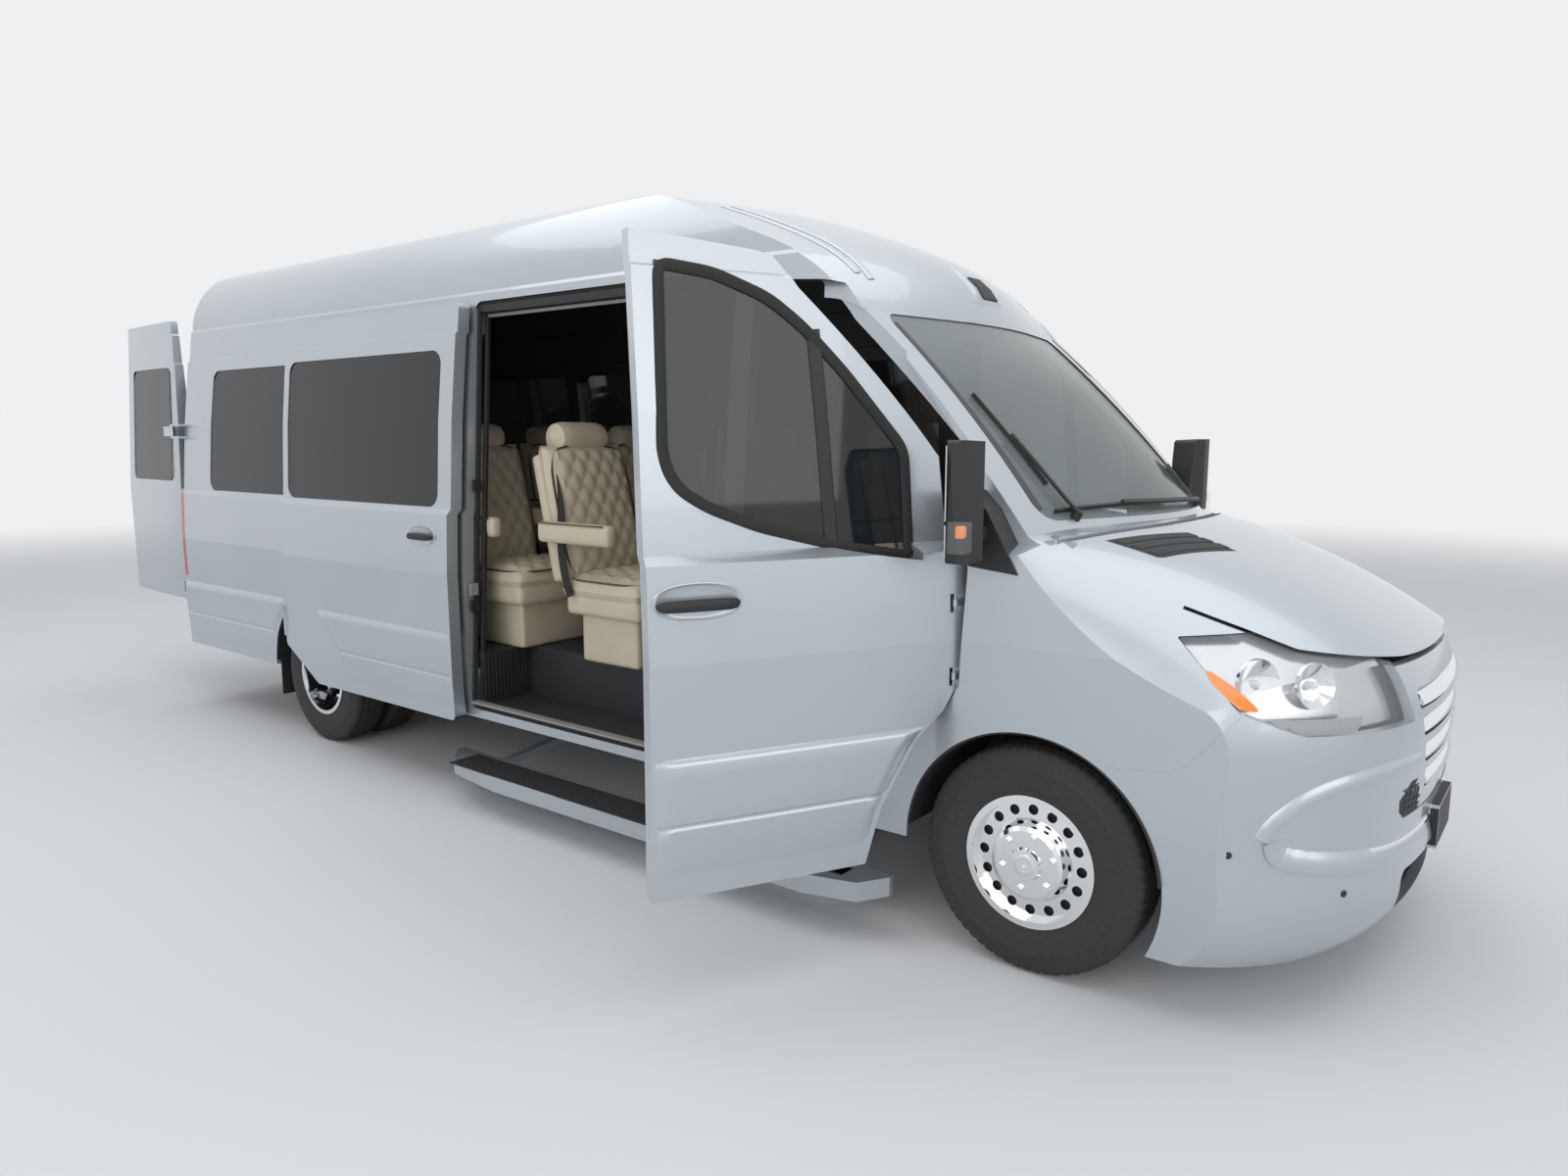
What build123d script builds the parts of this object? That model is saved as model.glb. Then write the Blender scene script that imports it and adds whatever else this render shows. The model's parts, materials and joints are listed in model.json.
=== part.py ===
from build123d import *
import math
import os

os.makedirs("parts", exist_ok=True)

# ---------------------------------------------------------------------------
# Driving sizes, in mm.
# The van is laid out from the ground point under its front axle: X forward, Y left, Z up.
# ---------------------------------------------------------------------------
wheelbase = 4325
front_reach = 1010              # front axle to the foremost point of the grille
rear_reach = 1625               # rear axle to the skin of the closed rear doors
half_width = 1000               # body side below the belt line
roof_z = 2818
sill_z = 395                    # lower edge of the body sides
floor_z = 700                   # top of the load and cab floor
floor_depth = 40
belt_z = 1385                   # fold under the side windows
rail_z = 2200                   # side rail over the windows
shoulder_z = 2400               # fold where the high roof starts

greenhouse_taper = 88           # how far the windows lean in by the front axle
pillar_half = 852               # pillar and front door meet here, 334 over the belt line

wall = 60                       # side walls and doors, outer skin to inner lining
skin = 28                       # hood and bumpers
fender_skin = 8
door_gap = 9                    # shut line round every door and lid
seam = 3                        # joint lines between fixed panels
seat_gap = 0.3                  # between pieces that rest on one another
glass_inset = 5                 # glass lies this far inside the outer skin
glass_thickness = 6
post_inset = 80                 # posts stand this far inside the outer skin
post_depth = 45

cowl_x = 140                    # foot of the windshield, on the centre line
cowl_z = 1440
header_x = -640                 # head of the windshield, on the centre line
header_z = 2170
hood_nose_z = 1095

axle_z = 380                    # wheel centre over the ground, the loaded radius of the tyre
tyre_width = 200
rim_radius = 206
arch_radius = 432
rear_arch_radius = 455
front_track = 1710
outer_twin_y = 868              # centre of the outer rear tyre
twin_spacing = 235

tail_x = -(wheelbase + rear_reach)
rear_axle_x = -wheelbase
far = 1300                      # past the body side, for cuts that run right through
parts = {}


# ---------------------------------------------------------------------------
# Helpers
# ---------------------------------------------------------------------------
def side_prism(outline, y_low, y_high):
    """An outline drawn on the side view, pushed across the van between two Y values."""
    return extrude(Plane.XZ.offset(-y_high) * outline, amount=y_high - y_low)


def front_prism(outline, x_low, x_high):
    """An outline drawn on the front view, Y and Z, pushed along the van."""
    plane = Plane((x_low, 0, 0), x_dir=(0, 1, 0), z_dir=(1, 0, 0))
    return extrude(plane * outline, amount=x_high - x_low)


def polygon(*points):
    return make_face(Polyline(*points, close=True))


def rounded(*points, radius):
    """A polygon with every corner rounded."""
    outline = polygon(*points)
    return fillet(outline.vertices(), radius)


def block(x, y, z):
    """A box from three (low, high) pairs."""
    size = [high - low for low, high in (x, y, z)]
    middle = [(low + high) / 2 for low, high in (x, y, z)]
    return Pos(*middle) * Box(*size)


def rod(radius, start, end):
    axis = Vector(*end) - Vector(*start)
    return Plane(Vector(*start), z_dir=axis) * Cylinder(
        radius, axis.length, align=(Align.CENTER, Align.CENTER, Align.MIN)
    )


def ring(outer_radius, inner_radius, start, end):
    return rod(outer_radius, start, end) - rod(inner_radius, start, end)


def left_of(piece):
    return mirror(piece, about=Plane.XZ)


def both_sides(piece):
    return piece + left_of(piece)


def largest(shape):
    """The main solid of a cut, without the crumbs that a curved cut leaves."""
    return max(shape.solids(), key=lambda solid: solid.volume)


# ---------------------------------------------------------------------------
# The outer form: a lengthwise outline swept across the van, cut by a cross section.
# Every point carries its outward direction, so the same outline also gives linings.
# ---------------------------------------------------------------------------
def bow(y, square_term, sixth_term, fourth_term=0):
    """How far the outline falls back at a distance y from the centre line."""
    share = y / 1000
    return square_term * share ** 2 + fourth_term * share ** 4 + sixth_term * share ** 6


def moved_in(points, inset):
    return [(a - inset * na, b - inset * nb) for a, b, na, nb in points]


def lengthwise_outline(y, inset):
    nose = front_reach - bow(y, 190, 330)
    cowl = cowl_x - bow(y, 420, 0, -200)
    header = header_x - bow(y, 280, 0, -160)
    brow = bow(y, 200, 60)
    drop = bow(y, 30, 130)
    tail = tail_x + bow(y, 0, 45)
    front = moved_in(
        [
            (nose - 120, 190, 0.6, -0.8),
            (nose - 22, 330, 1, -0.2),
            (nose - 8, 560, 1, 0),
            (nose, 900, 1, 0.1),
            (nose - 48, hood_nose_z - drop, 0.7, 0.7),
        ],
        inset,
    )
    hood = moved_in(
        [(nose - 400, hood_nose_z + 195 - drop, 0.3, 0.95), (cowl, cowl_z - drop / 3, 0, 1.3)],
        inset,
    )
    shield = moved_in(
        [
            ((cowl + header) / 2 + 14, (cowl_z + header_z) / 2 + 14, 0.7, 0.7),
            (header, header_z, 0.75, 0.5),
        ],
        inset,
    )
    cap = moved_in(
        [
            (header - 110 - brow / 2, header_z + 180, 0.7, 0.7),
            (header - 420 - brow, roof_z - 290, 0.45, 0.9),
            (header - 850 - brow, roof_z - 140, 0.25, 0.97),
            (header - 1450 - brow, roof_z - 30, 0.1, 1),
            (header - 2000 - brow, roof_z, 0, 1),
        ],
        inset,
    )
    rear = moved_in(
        [
            (tail + 175, roof_z - 6, -0.3, 1),
            (tail + 85, roof_z - 90, -1, 0.4),
            (tail, belt_z, -1, 0),
            (tail, 190, -1, -1),
        ],
        inset,
    )
    corner = ((rear[0][0] + rear[1][0]) / 2 - 16, (rear[0][1] + rear[1][1]) / 2 + 16)
    line = Spline(*front) + Spline(front[-1], *hood) + Spline(hood[-1], *shield)
    line += Spline(shield[-1], *cap) + Line(cap[-1], rear[0]) + ThreePointArc(rear[0], corner, rear[1])
    line += Polyline(*rear[1:], front[0])
    return Plane.XZ.offset(-y) * make_face(line)


outline_stations = [1060, 800, 450, 0, -450, -800, -1060]


def lengthwise_form(inset):
    return loft([lengthwise_outline(y, inset) for y in outline_stations])


def cross_outline(x, inset):
    ahead = max(0, x + 1300) / 1300            # 0 behind the front doors, 1 over the front axle
    low = half_width - 12 * ahead ** 2
    high = half_width - greenhouse_taper * ahead
    side = [
        (low - 20, 150, 1, -1),
        (low - 4, 575, 1, 0),
        (low, 1080, 1, 0),
        (low - 13, belt_z - 18, 1, 0),
        (high - 37, belt_z + 8, 1, 0),
        (high - 62, belt_z + 415, 1, 0),
        (high - 104, rail_z, 1, 0),
        (high - 116, rail_z + 8, 1, 0),
        (high - 134, shoulder_z - 16, 1, 0),
        (high - 146, shoulder_z, 1, 0.1),
    ]
    over = [
        (high - 196, roof_z - 235, 0.85, 0.5),
        (high - 330, roof_z - 90, 0.5, 0.9),
        (high - 640, roof_z - 18, 0.1, 1),
        (0, roof_z, 0, 1),
    ]
    left = moved_in(side, inset)
    top = moved_in(over, inset)
    right = [(-y, z) for y, z in reversed(left)]
    right_top = [(-y, z) for y, z in reversed(top[:-1])]
    edges = Polyline(*left) + Spline(left[-1], *top, *right_top, right[0])
    edges += Polyline(*right, left[0])
    return Plane((x, 0, 0), x_dir=(0, 1, 0), z_dir=(1, 0, 0)) * make_face(edges)


def cross_form(inset, rear=True, front=True):
    """The cross section run along the van: straight behind the front doors, tapered ahead."""
    pieces = []
    if rear:
        pieces.append(extrude(cross_outline(-1300, inset), amount=tail_x - 200 + 1300))
    if front:
        pieces.append(loft([cross_outline(x, inset) for x in (-1300, -900, -400, 200, 1200)]))
    return Part() + pieces


front_end = block((-620, 1300), (-1100, 1100), (100, 1580))


def side_y(z):
    """Half width of the straight body side at a height between the sill and the belt."""
    return half_width - 4 + 4 * (z - 575) / (1080 - 575)


# ---------------------------------------------------------------------------
# Side view outlines, X and Z
# ---------------------------------------------------------------------------
door_edge = -232                # front edge of the closed front door, at the belt
door_rear = -1288
body_split = door_rear - door_gap / 2

front_door_outline = make_face(
    Polyline(
        (door_edge, belt_z - 80),
        (door_edge - 36, belt_z + 334),
        (door_edge - 318, rail_z - 144),
    )
    + ThreePointArc(
        (door_edge - 318, rail_z - 144),
        (door_edge - 470, rail_z + 2),
        (door_edge - 710, rail_z + 76),
    )
    + Polyline(
        (door_edge - 710, rail_z + 76),
        (door_rear, rail_z + 104),
        (door_rear, sill_z - 20),
        (door_edge - 346, sill_z - 20),
        (door_edge - 293, sill_z + 165),
        (door_edge - 168, sill_z + 370),
        (door_edge - 68, sill_z + 455),
        (door_edge - 18, sill_z + 535),
        (door_edge, belt_z - 80),
    )
)
front_door_cut = offset(front_door_outline, door_gap, kind=Kind.INTERSECTION)
front_window = make_face(
    Polyline(
        (door_edge - 148, belt_z - 42),
        (door_edge - 158, belt_z + 310),
        (door_edge - 380, rail_z - 266),
        (door_edge - 520, rail_z - 134),
    )
    + Spline(
        (door_edge - 520, rail_z - 134),
        (door_edge - 632, rail_z - 56),
        (door_edge - 806, rail_z + 2),
        (door_edge - 985, rail_z + 20),
    )
    + Line((door_edge - 985, rail_z + 20), (door_edge - 1000, belt_z + 285))
    + Spline(
        (door_edge - 1000, belt_z + 285),
        (door_edge - 957, belt_z + 194),
        (door_edge - 859, belt_z + 134),
        (door_edge - 690, belt_z + 70),
        (door_edge - 397, belt_z - 3),
        (door_edge - 148, belt_z - 42),
    )
)

slide_front = door_rear - door_gap
slide_rear = -2880
slide_low = 437
slide_top = shoulder_z - 50
slide_opening = rounded(
    (slide_front + 100, slide_low),
    (slide_front + 100, slide_top),
    (slide_rear, slide_top),
    (slide_rear, slide_low),
    radius=45,
)

window_low = belt_z + 14
window_top = rail_z - 70


def side_window(x_front, x_rear, rear_lean=0):
    return rounded(
        (x_front, window_low),
        (x_front, window_top),
        (x_rear + rear_lean, window_top),
        (x_rear, window_low),
        radius=70,
    )


middle_window = side_window(slide_rear - 90, slide_rear - 1290)
rear_window = side_window(slide_rear - 1390, tail_x + 400, 40)
slide_window = side_window(slide_front - 110, slide_rear + 90)

hood_line = [
    (cowl_x - 200, cowl_z - 35),
    (cowl_x + 9, cowl_z - 122),
    (cowl_x + 252, cowl_z - 212),
    (front_reach - 435, hood_nose_z + 70),
    (front_reach - 310, hood_nose_z + 23),
    (front_reach + 90, hood_nose_z - 45),
]
lamp_low_z = hood_nose_z - 190
bumper_seam = [
    (250, axle_z + 372),
    (421, axle_z + 390),
    (475, axle_z + 414),
    (front_reach - 393, lamp_low_z + 59),
    (front_reach - 250, lamp_low_z),
    (front_reach + 90, lamp_low_z - 8),
]
below_seam = polygon(*bumper_seam, (front_reach + 90, 100), (250, 100))
lamp_outline = polygon(
    (416, hood_nose_z + 57),
    *hood_line[3:],
    (front_reach + 90, lamp_low_z - 8 + seat_gap),
    (front_reach - 250, lamp_low_z + seat_gap),
    (front_reach - 393, lamp_low_z + 59 + seat_gap),
)
front_zone = polygon(
    (door_edge - 346 + door_gap, sill_z - 20),
    (door_edge - 293 + door_gap, sill_z + 163),
    (door_edge - 168 + door_gap, sill_z + 366),
    (door_edge - 68 + door_gap, sill_z + 451),
    (door_edge - 18 + door_gap, sill_z + 533),
    (door_edge + door_gap, belt_z - 80),
    (door_edge + door_gap, belt_z - 40),
    *hood_line,
    (front_reach + 90, sill_z - 20),
)
roof_zone = polygon(
    (300, header_z + 66),
    (header_x - 60, header_z + 66),
    (header_x - 400, shoulder_z),
    (tail_x - 100, shoulder_z),
    (tail_x - 100, roof_z + 100),
    (300, roof_z + 100),
)

# Front view outlines, Y and Z
grille_half_top = 505
grille_half_low = 330
grille_low_z = hood_nose_z - 483
grille_top_z = hood_nose_z - 27
grille_front = polygon(
    (-grille_half_top, grille_top_z),
    (-grille_half_low, grille_low_z),
    (grille_half_low, grille_low_z),
    (grille_half_top, grille_top_z),
)
grille_slope = (grille_half_top - grille_half_low) / (grille_top_z - grille_low_z)
above_grille = 140
lamp_inner_edge = polygon(
    (-grille_half_top - grille_slope * above_grille, grille_top_z + above_grille),
    (-grille_half_low, grille_low_z),
    (grille_half_low, grille_low_z),
    (grille_half_top + grille_slope * above_grille, grille_top_z + above_grille),
)
shield_front = rounded(
    (-777, cowl_z + 18),
    (-703, header_z - 4),
    (703, header_z - 4),
    (777, cowl_z + 18),
    radius=60,
)

# ---------------------------------------------------------------------------
# Front end: fenders, hood, bumper, lamps and grille
# ---------------------------------------------------------------------------
front_outer = (lengthwise_form(0) & front_end) & (cross_form(0, rear=False) & front_end)


def front_skin(thickness):
    return front_outer - (
        (lengthwise_form(thickness) & front_end) & (cross_form(thickness, rear=False) & front_end)
    )


thin_front = front_skin(fender_skin)
thick_front = front_skin(skin)
arch_cut = rod(arch_radius, (0, -far, axle_z), (0, -500, axle_z))
arch_cuts = both_sides(arch_cut)

fender = thin_front & side_prism(front_zone, -far, 0)
fender -= side_prism(offset(below_seam, seat_gap), -far, 0)
fender -= side_prism(offset(lamp_outline, seam), -far, 0)
fender = largest(fender - arch_cut)
parts["fenders"] = both_sides(fender)

hood_corner_x = cowl_x - 140
hood_corner_y = 850
hood_plan = make_face(
    ThreePointArc((hood_corner_x, -hood_corner_y), (cowl_x + 50, 0), (hood_corner_x, hood_corner_y))
    + Polyline(
        (hood_corner_x, hood_corner_y),
        (hood_corner_x, 1050),
        (far, 1050),
        (far, -1050),
        (hood_corner_x, -1050),
        (hood_corner_x, -hood_corner_y),
    )
)
above_hood_line = polygon(
    *[(x, z + door_gap) for x, z in hood_line],
    (front_reach + 90, 1700),
    (cowl_x - 200, 1700),
)
hood = thick_front & side_prism(above_hood_line, -far, far) & extrude(hood_plan, amount=2000)
parts["hood"] = largest(hood - front_prism(offset(grille_front, door_gap), 0, far))

intake = rounded((-380, 290), (-430, 430), (430, 430), (380, 290), radius=30)
bumper = thick_front & side_prism(below_seam, -far, far)
bumper -= front_prism(offset(grille_front, seat_gap), 0, far)
parts["front_bumper"] = largest(bumper - arch_cuts - front_prism(intake, 700, far))

lamp = thick_front & side_prism(lamp_outline, -far, 0)
parts["headlamps"] = both_sides(largest(lamp - front_prism(offset(lamp_inner_edge, seam), 0, far)))

grille_shell = largest(thick_front & front_prism(grille_front, 300, far))
slot_height = 62
grille_slots = Part()
for row in range(4):
    low = grille_top_z - 140 - row * (slot_height + 26)
    half = grille_half_low + (low - grille_low_z) * 0.38 - 60
    slot = rounded((-half, low), (half, low), (half + 20, low + slot_height), (-half - 20, low + slot_height), radius=12)
    grille_slots += front_prism(slot, 700, far)
parts["grille"] = grille_shell - grille_slots

# ---------------------------------------------------------------------------
# Cab frame, side walls and roof, cut from one shell
# ---------------------------------------------------------------------------
outer = lengthwise_form(0) & cross_form(0)
lining = lengthwise_form(wall) & cross_form(wall)
shell = outer - lining


def lower_shell(x, z, y=(-far, far)):
    return shell & block(x, y, z)


hood_reach = extrude(offset(hood_plan, 26), amount=2000)
shield_cut = front_prism(shield_front, -900, 400)
rear_low = 655
rear_top = roof_z - 335
rear_frame = 40                 # rear posts, seen from behind
rear_opening = extrude(cross_outline(tail_x + wall + 60, rear_frame), amount=-200) & block(
    (tail_x - 200, tail_x + 200), (-far, far), (rear_low, rear_top)
)


pillar_lip = 50                 # the pillar reaches this far behind the door's frame
pillar_inner = 785              # and stands this far out, so that it runs up to the header


def outside_pillar(gap):
    """Everything on the door's side of the slanted joint between the front door and the pillar."""
    joint = [(-(pillar_half + gap - 0.1 * (z - belt_z - 334)), z) for z in (belt_z + 15, shoulder_z + 100)]
    outline = polygon((-far, 200), (-far, shoulder_z + 100), joint[1], joint[0], (-500, belt_z + 15), (-500, 200))
    return front_prism(outline, -2000, 500)


def side_band(x, depth_out, depth_in, low, high):
    """A slice of the body side between two depths, bounded in X and Z."""
    section = x[0]
    ahead = max(0, section + 1300) / 1300
    low_half = half_width - 12 * ahead ** 2
    high_half = half_width - greenhouse_taper * ahead
    line = [
        (low_half - 11, 395),
        (low_half - 4, 575),
        (low_half, 1080),
        (low_half - 13, belt_z - 18),
        (high_half - 37, belt_z + 8),
        (high_half - 62, belt_z + 415),
        (high_half - 104, rail_z),
        (high_half - 134, shoulder_z - 16),
        (high_half - 146, shoulder_z),
    ]
    outside = [(-(y - depth_out), z) for y, z in line]
    inside = [(-(y - depth_in), z) for y, z in reversed(line)]
    band = front_prism(polygon(*outside, *inside), x[0], x[1])
    return band & block(x, (-far, 0), (low, high))


# Cab frame
cab = lower_shell((body_split, 400), (sill_z, roof_z))
cab -= side_prism(front_zone, -far, far) + side_prism(roof_zone, -far, far) + shield_cut
cab -= side_prism(above_hood_line, -far, far) & hood_reach
cab -= both_sides(side_prism(front_door_cut, -far, -500) & outside_pillar(-door_gap / 2))
cab -= both_sides(side_prism(offset(front_door_outline, -pillar_lip), -far, -pillar_inner))
cab = largest(cab)
hinge_post = side_band((-300, -172), post_inset, post_inset + post_depth, 850, cowl_z - 85)
bulkhead = block((-200, -172), (-890, 890), (850, cowl_z - 85)) + block((-200, -172), (-800, 800), (850, cowl_z - 45))
shelf = block((-200, cowl_x), (-800, 800), (cowl_z - 100, cowl_z - 45)) - hood_reach
hood_hinge_x = hood_corner_x - 5
hood_hinge_z = cowl_z - 45
hood_hinge_y = 795
hood_pin = 4

# Roof
roof = lower_shell((tail_x, 400), (header_z, roof_z)) & side_prism(roof_zone, -far, far)
parts["roof_panel"] = largest(roof - rear_opening)

# Side walls
rear_arch = rod(rear_arch_radius, (rear_axle_x, -far, axle_z), (rear_axle_x, -500, axle_z))
right_wall = lower_shell((tail_x, body_split), (sill_z, shoulder_z), (-far, 0))
for cut in (slide_opening, middle_window, rear_window):
    right_wall -= side_prism(cut, -far, -500)
rear_panel_cut = block((tail_x - 10, tail_x + wall + 30), (-880, 880), (sill_z - 5, rear_low + 1))
right_wall = largest(right_wall - rear_arch - rear_opening - rear_panel_cut)
left_wall = lower_shell((tail_x, body_split), (sill_z, shoulder_z), (0, far))
for cut in (slide_window, middle_window, rear_window):
    left_wall -= side_prism(cut, 500, far)
left_wall = largest(left_wall - left_of(rear_arch) - rear_opening - rear_panel_cut)

post_x = (body_split - 45, body_split + 52)
side_post = side_band(post_x, post_inset, post_inset + post_depth, sill_z, shoulder_z)
post_tie_x = (body_split - 45, body_split - 8)
side_post += side_band(post_tie_x, wall - 10, post_inset + 5, slide_top + 5, shoulder_z)
side_post += side_band(post_tie_x, wall - 10, post_inset + 5, sill_z, slide_low)

rear_hinge_x = tail_x - 22
rear_hinge_y = half_width - 15
rear_hinge_heights = (760, 1764)
pin_radius = 6


def lean(z):
    """How far the rear face stands forward at a height."""
    return 85 * max(0, z - belt_z) / (roof_z - 90 - belt_z)


def post_y(z):
    """Half width at the middle of the rear corner post, in the leaning part above the belt too."""
    return side_y(min(z, 1080)) - rear_frame / 2 - max(0, z - belt_z) * 0.15


hinge_pins = Part()
for z in rear_hinge_heights:
    hinge_pins += rod(pin_radius, (rear_hinge_x, -rear_hinge_y, z - 45), (rear_hinge_x, -rear_hinge_y, z + 45))
    ear_x = (rear_hinge_x - 9, tail_x + 65 + lean(z))
    for low in (z - 45, z + 32):
        hinge_pins += block(ear_x, (-rear_hinge_y - 9, -post_y(z) + 12), (low, low + 13))
tail_lamp_zone = block((tail_x - 10, tail_x + 80), (-far, -half_width + 25), (838, 1380))
tail_lamp = largest(lower_shell((tail_x, tail_x + 80), (838 + seat_gap, 1380 - seat_gap), (-far, -half_width + 25)))
parts["tail_lamps"] = both_sides(tail_lamp)
parts["side_wall_right"] = right_wall - tail_lamp_zone + side_post + hinge_pins
parts["side_wall_left"] = left_wall - left_of(tail_lamp_zone) + left_of(side_post + hinge_pins)

# ---------------------------------------------------------------------------
# Doors, modelled closed
# ---------------------------------------------------------------------------
front_hinge_x = door_edge - 30
front_hinge_y = half_width - 12
front_hinge_heights = (960, 1200)
knuckle_radius = 8
front_pin = 4

front_door = lower_shell((body_split - 60, -200), (sill_z - 25, shoulder_z), (-far, 0))
front_door &= side_prism(front_door_outline, -far, 0)
front_door = largest((front_door & outside_pillar(door_gap / 2)) - side_prism(front_window, -far, 0))
hinge_arms = Part()
for z in front_hinge_heights:
    pin = (front_hinge_x, -front_hinge_y)
    front_door -= block((front_hinge_x - 18, door_edge + 5), (-front_hinge_y - 11, -800), (z - 30, z + 30))
    front_door += rod(front_pin, (*pin, z - 31), (*pin, z + 31))
    arm = block(
        (front_hinge_x - knuckle_radius, front_hinge_x + knuckle_radius),
        (-front_hinge_y, -half_width + post_inset + 25),
        (z - 12, z + 12),
    )
    arm += rod(knuckle_radius, (*pin, z - 12), (*pin, z + 12))
    hinge_arms += arm - rod(front_pin + seat_gap, (*pin, z - 20), (*pin, z + 20))
front_door = largest(front_door)


def glass_slice(x):
    """The cross section of the right hand side glass, which leans in towards the front."""
    ahead = max(0, x + 1300) / 1300
    high = half_width - greenhouse_taper * ahead
    line = [(high - 37, belt_z + 8), (high - 62, belt_z + 415), (high - 104, rail_z), (high - 112, rail_z + 60)]
    outline = polygon(
        *[(-(y - glass_inset), z) for y, z in line],
        *[(-(y - glass_inset - glass_thickness), z) for y, z in reversed(line)],
    )
    return Plane((x, 0, 0), x_dir=(0, 1, 0), z_dir=(1, 0, 0)) * outline


taper_run = (1300, greenhouse_taper, 0)
door_pane = extrude(glass_slice(-1300), amount=Vector(*taper_run).length, dir=taper_run)
front_glass = door_pane & side_prism(front_window, -far, 0)

rear_door = (shell & extrude(cross_outline(tail_x + wall + 60, rear_frame + 6), amount=-200)) & block(
    (tail_x - 5, tail_x + wall + 60), (-far, -3), (rear_low + 6, rear_top - 6)
)
rear_door = largest(rear_door)
rear_pane_low = belt_z + 55
rear_pane_top = rail_z - 20
rear_pane = rounded((-95, rear_pane_low), (-95, rear_pane_top), (-780, rear_pane_top), (-820, rear_pane_low), radius=50)
rear_door -= front_prism(rear_pane, tail_x - 10, tail_x + 200)


rear_slab = polygon(
    (tail_x + lean(1400) + 6, 1400),
    (tail_x + lean(2300) + 6, 2300),
    (tail_x + lean(2300) + 12, 2300),
    (tail_x + lean(1400) + 12, 1400),
)
rear_glass = side_prism(rear_slab, -far, 0) & front_prism(offset(rear_pane, -seat_gap), tail_x - 10, tail_x + 200)
for z in rear_hinge_heights:
    foot_y = -post_y(z) + rear_frame / 2 + 20
    sleeve = rod(14, (rear_hinge_x, -rear_hinge_y, z - 31), (rear_hinge_x, -rear_hinge_y, z + 31))
    sleeve += block((rear_hinge_x - 8, rear_hinge_x + 8), (-rear_hinge_y, foot_y + 30), (z - 31, z + 31))
    sleeve += block((rear_hinge_x - 8, tail_x + 50 + lean(z)), (foot_y, foot_y + 30), (z - 31, z + 31))
    rear_door += sleeve - rod(pin_radius + seat_gap, (rear_hinge_x, -rear_hinge_y, z - 60), (rear_hinge_x, -rear_hinge_y, z + 60))

slide_shift_x = -1580
slide_shift_y = -88
slide_door_outline = rounded(
    (slide_front - 6, sill_z - 10),
    (slide_front - 6, slide_top - 6),
    (slide_rear + 9, slide_top - 6),
    (slide_rear + 9, 573),
    (slide_rear + 320, sill_z - 10),
    radius=30,
)
slide_pane_outline = side_window(slide_front - 110, slide_rear + 60)
slide_closed = lower_shell((slide_rear - 10, slide_front), (sill_z - 20, shoulder_z), (-far, 0))
slide_closed = largest(slide_closed & side_prism(slide_door_outline, -far, 0)) - side_prism(slide_pane_outline, -far, 0)

# ---------------------------------------------------------------------------
# Cab frame with the hinges it carries
# ---------------------------------------------------------------------------
hinge_pocket = (hood_hinge_x - 22, hood_hinge_x + 60)
hood_pin_z = hood_hinge_z + 8
hinge_pockets = both_sides(
    block(hinge_pocket, (-hood_hinge_y - 17, -hood_hinge_y + 17), (hood_pin_z - 25, hood_pin_z + 40))
)
hood_ears = rod(
    hood_pin, (hood_hinge_x, -hood_hinge_y - 16, hood_pin_z), (hood_hinge_x, -hood_hinge_y + 16, hood_pin_z)
)
for side in (-1, 1):
    ear_y = (-hood_hinge_y + 14 * side - 3, -hood_hinge_y + 14 * side + 3)
    hood_ears += block((hood_hinge_x - 40, hood_hinge_x + 6), ear_y, (hood_pin_z - 25, hood_pin_z + 6))
post_hinges = both_sides(hinge_post + hinge_arms)
cab_frame = (cab + shelf + bulkhead) - hinge_pockets + post_hinges + both_sides(hood_ears)
parts["cab_frame"] = cab_frame

hood_knuckle = rod(
    9, (hood_hinge_x, -hood_hinge_y - 9, hood_pin_z), (hood_hinge_x, -hood_hinge_y + 9, hood_pin_z)
)
hood_knuckle += block(
    (hood_hinge_x, hood_hinge_x + 60), (-hood_hinge_y - 9, -hood_hinge_y + 9), (hood_pin_z - 20, hood_pin_z - 3)
)
hood_knuckle -= rod(
    hood_pin + seat_gap,
    (hood_hinge_x, -hood_hinge_y - 20, hood_pin_z),
    (hood_hinge_x, -hood_hinge_y + 20, hood_pin_z),
)
parts["hood"] += both_sides(hood_knuckle)

# ---------------------------------------------------------------------------
# Floor, with step wells at the doors and tubs over the rear wheels
# ---------------------------------------------------------------------------
floor_low = floor_z - floor_depth
floor_half = side_y(floor_low) - wall - seat_gap
cab_floor_half = floor_half - 28
floor_rear = tail_x + wall + 40
tub_radius = rear_arch_radius + 20
post_inner_y = side_y(floor_low) - post_inset - post_depth - 3
toe_x = -400

floor = block((floor_rear, body_split), (-floor_half, floor_half), (floor_low, floor_z))
floor += block((body_split, toe_x), (-cab_floor_half, cab_floor_half), (floor_low, floor_z))
toe_board = polygon(
    (toe_x, floor_low),
    (-200 - seat_gap, floor_z + 150),
    (-200 - seat_gap, floor_z + 190),
    (-200 - 40, floor_z + 190),
    (toe_x, floor_z),
)
floor += side_prism(toe_board, -545, 545)
floor -= both_sides(
    block((post_x[0] - 1, post_x[1] + 1), (-far, -post_inner_y), (floor_low - 10, floor_z + 10))
)


def step_well(x, y_outer, y_riser, tread_z):
    """A step in the floor: riser, tread and two ends, open towards the door."""
    plate = 10
    well = block(x, (-y_outer, -y_riser), (tread_z - plate, floor_z))
    return well - block(
        (x[0] + plate, x[1] - plate), (-far, -y_riser - plate), (tread_z, floor_z + 1)
    )


slide_step = ((slide_rear + 40, slide_front - 90), floor_half, 650, 450)
front_step = ((-1190, -640), cab_floor_half - 10, 700, 440)


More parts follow.
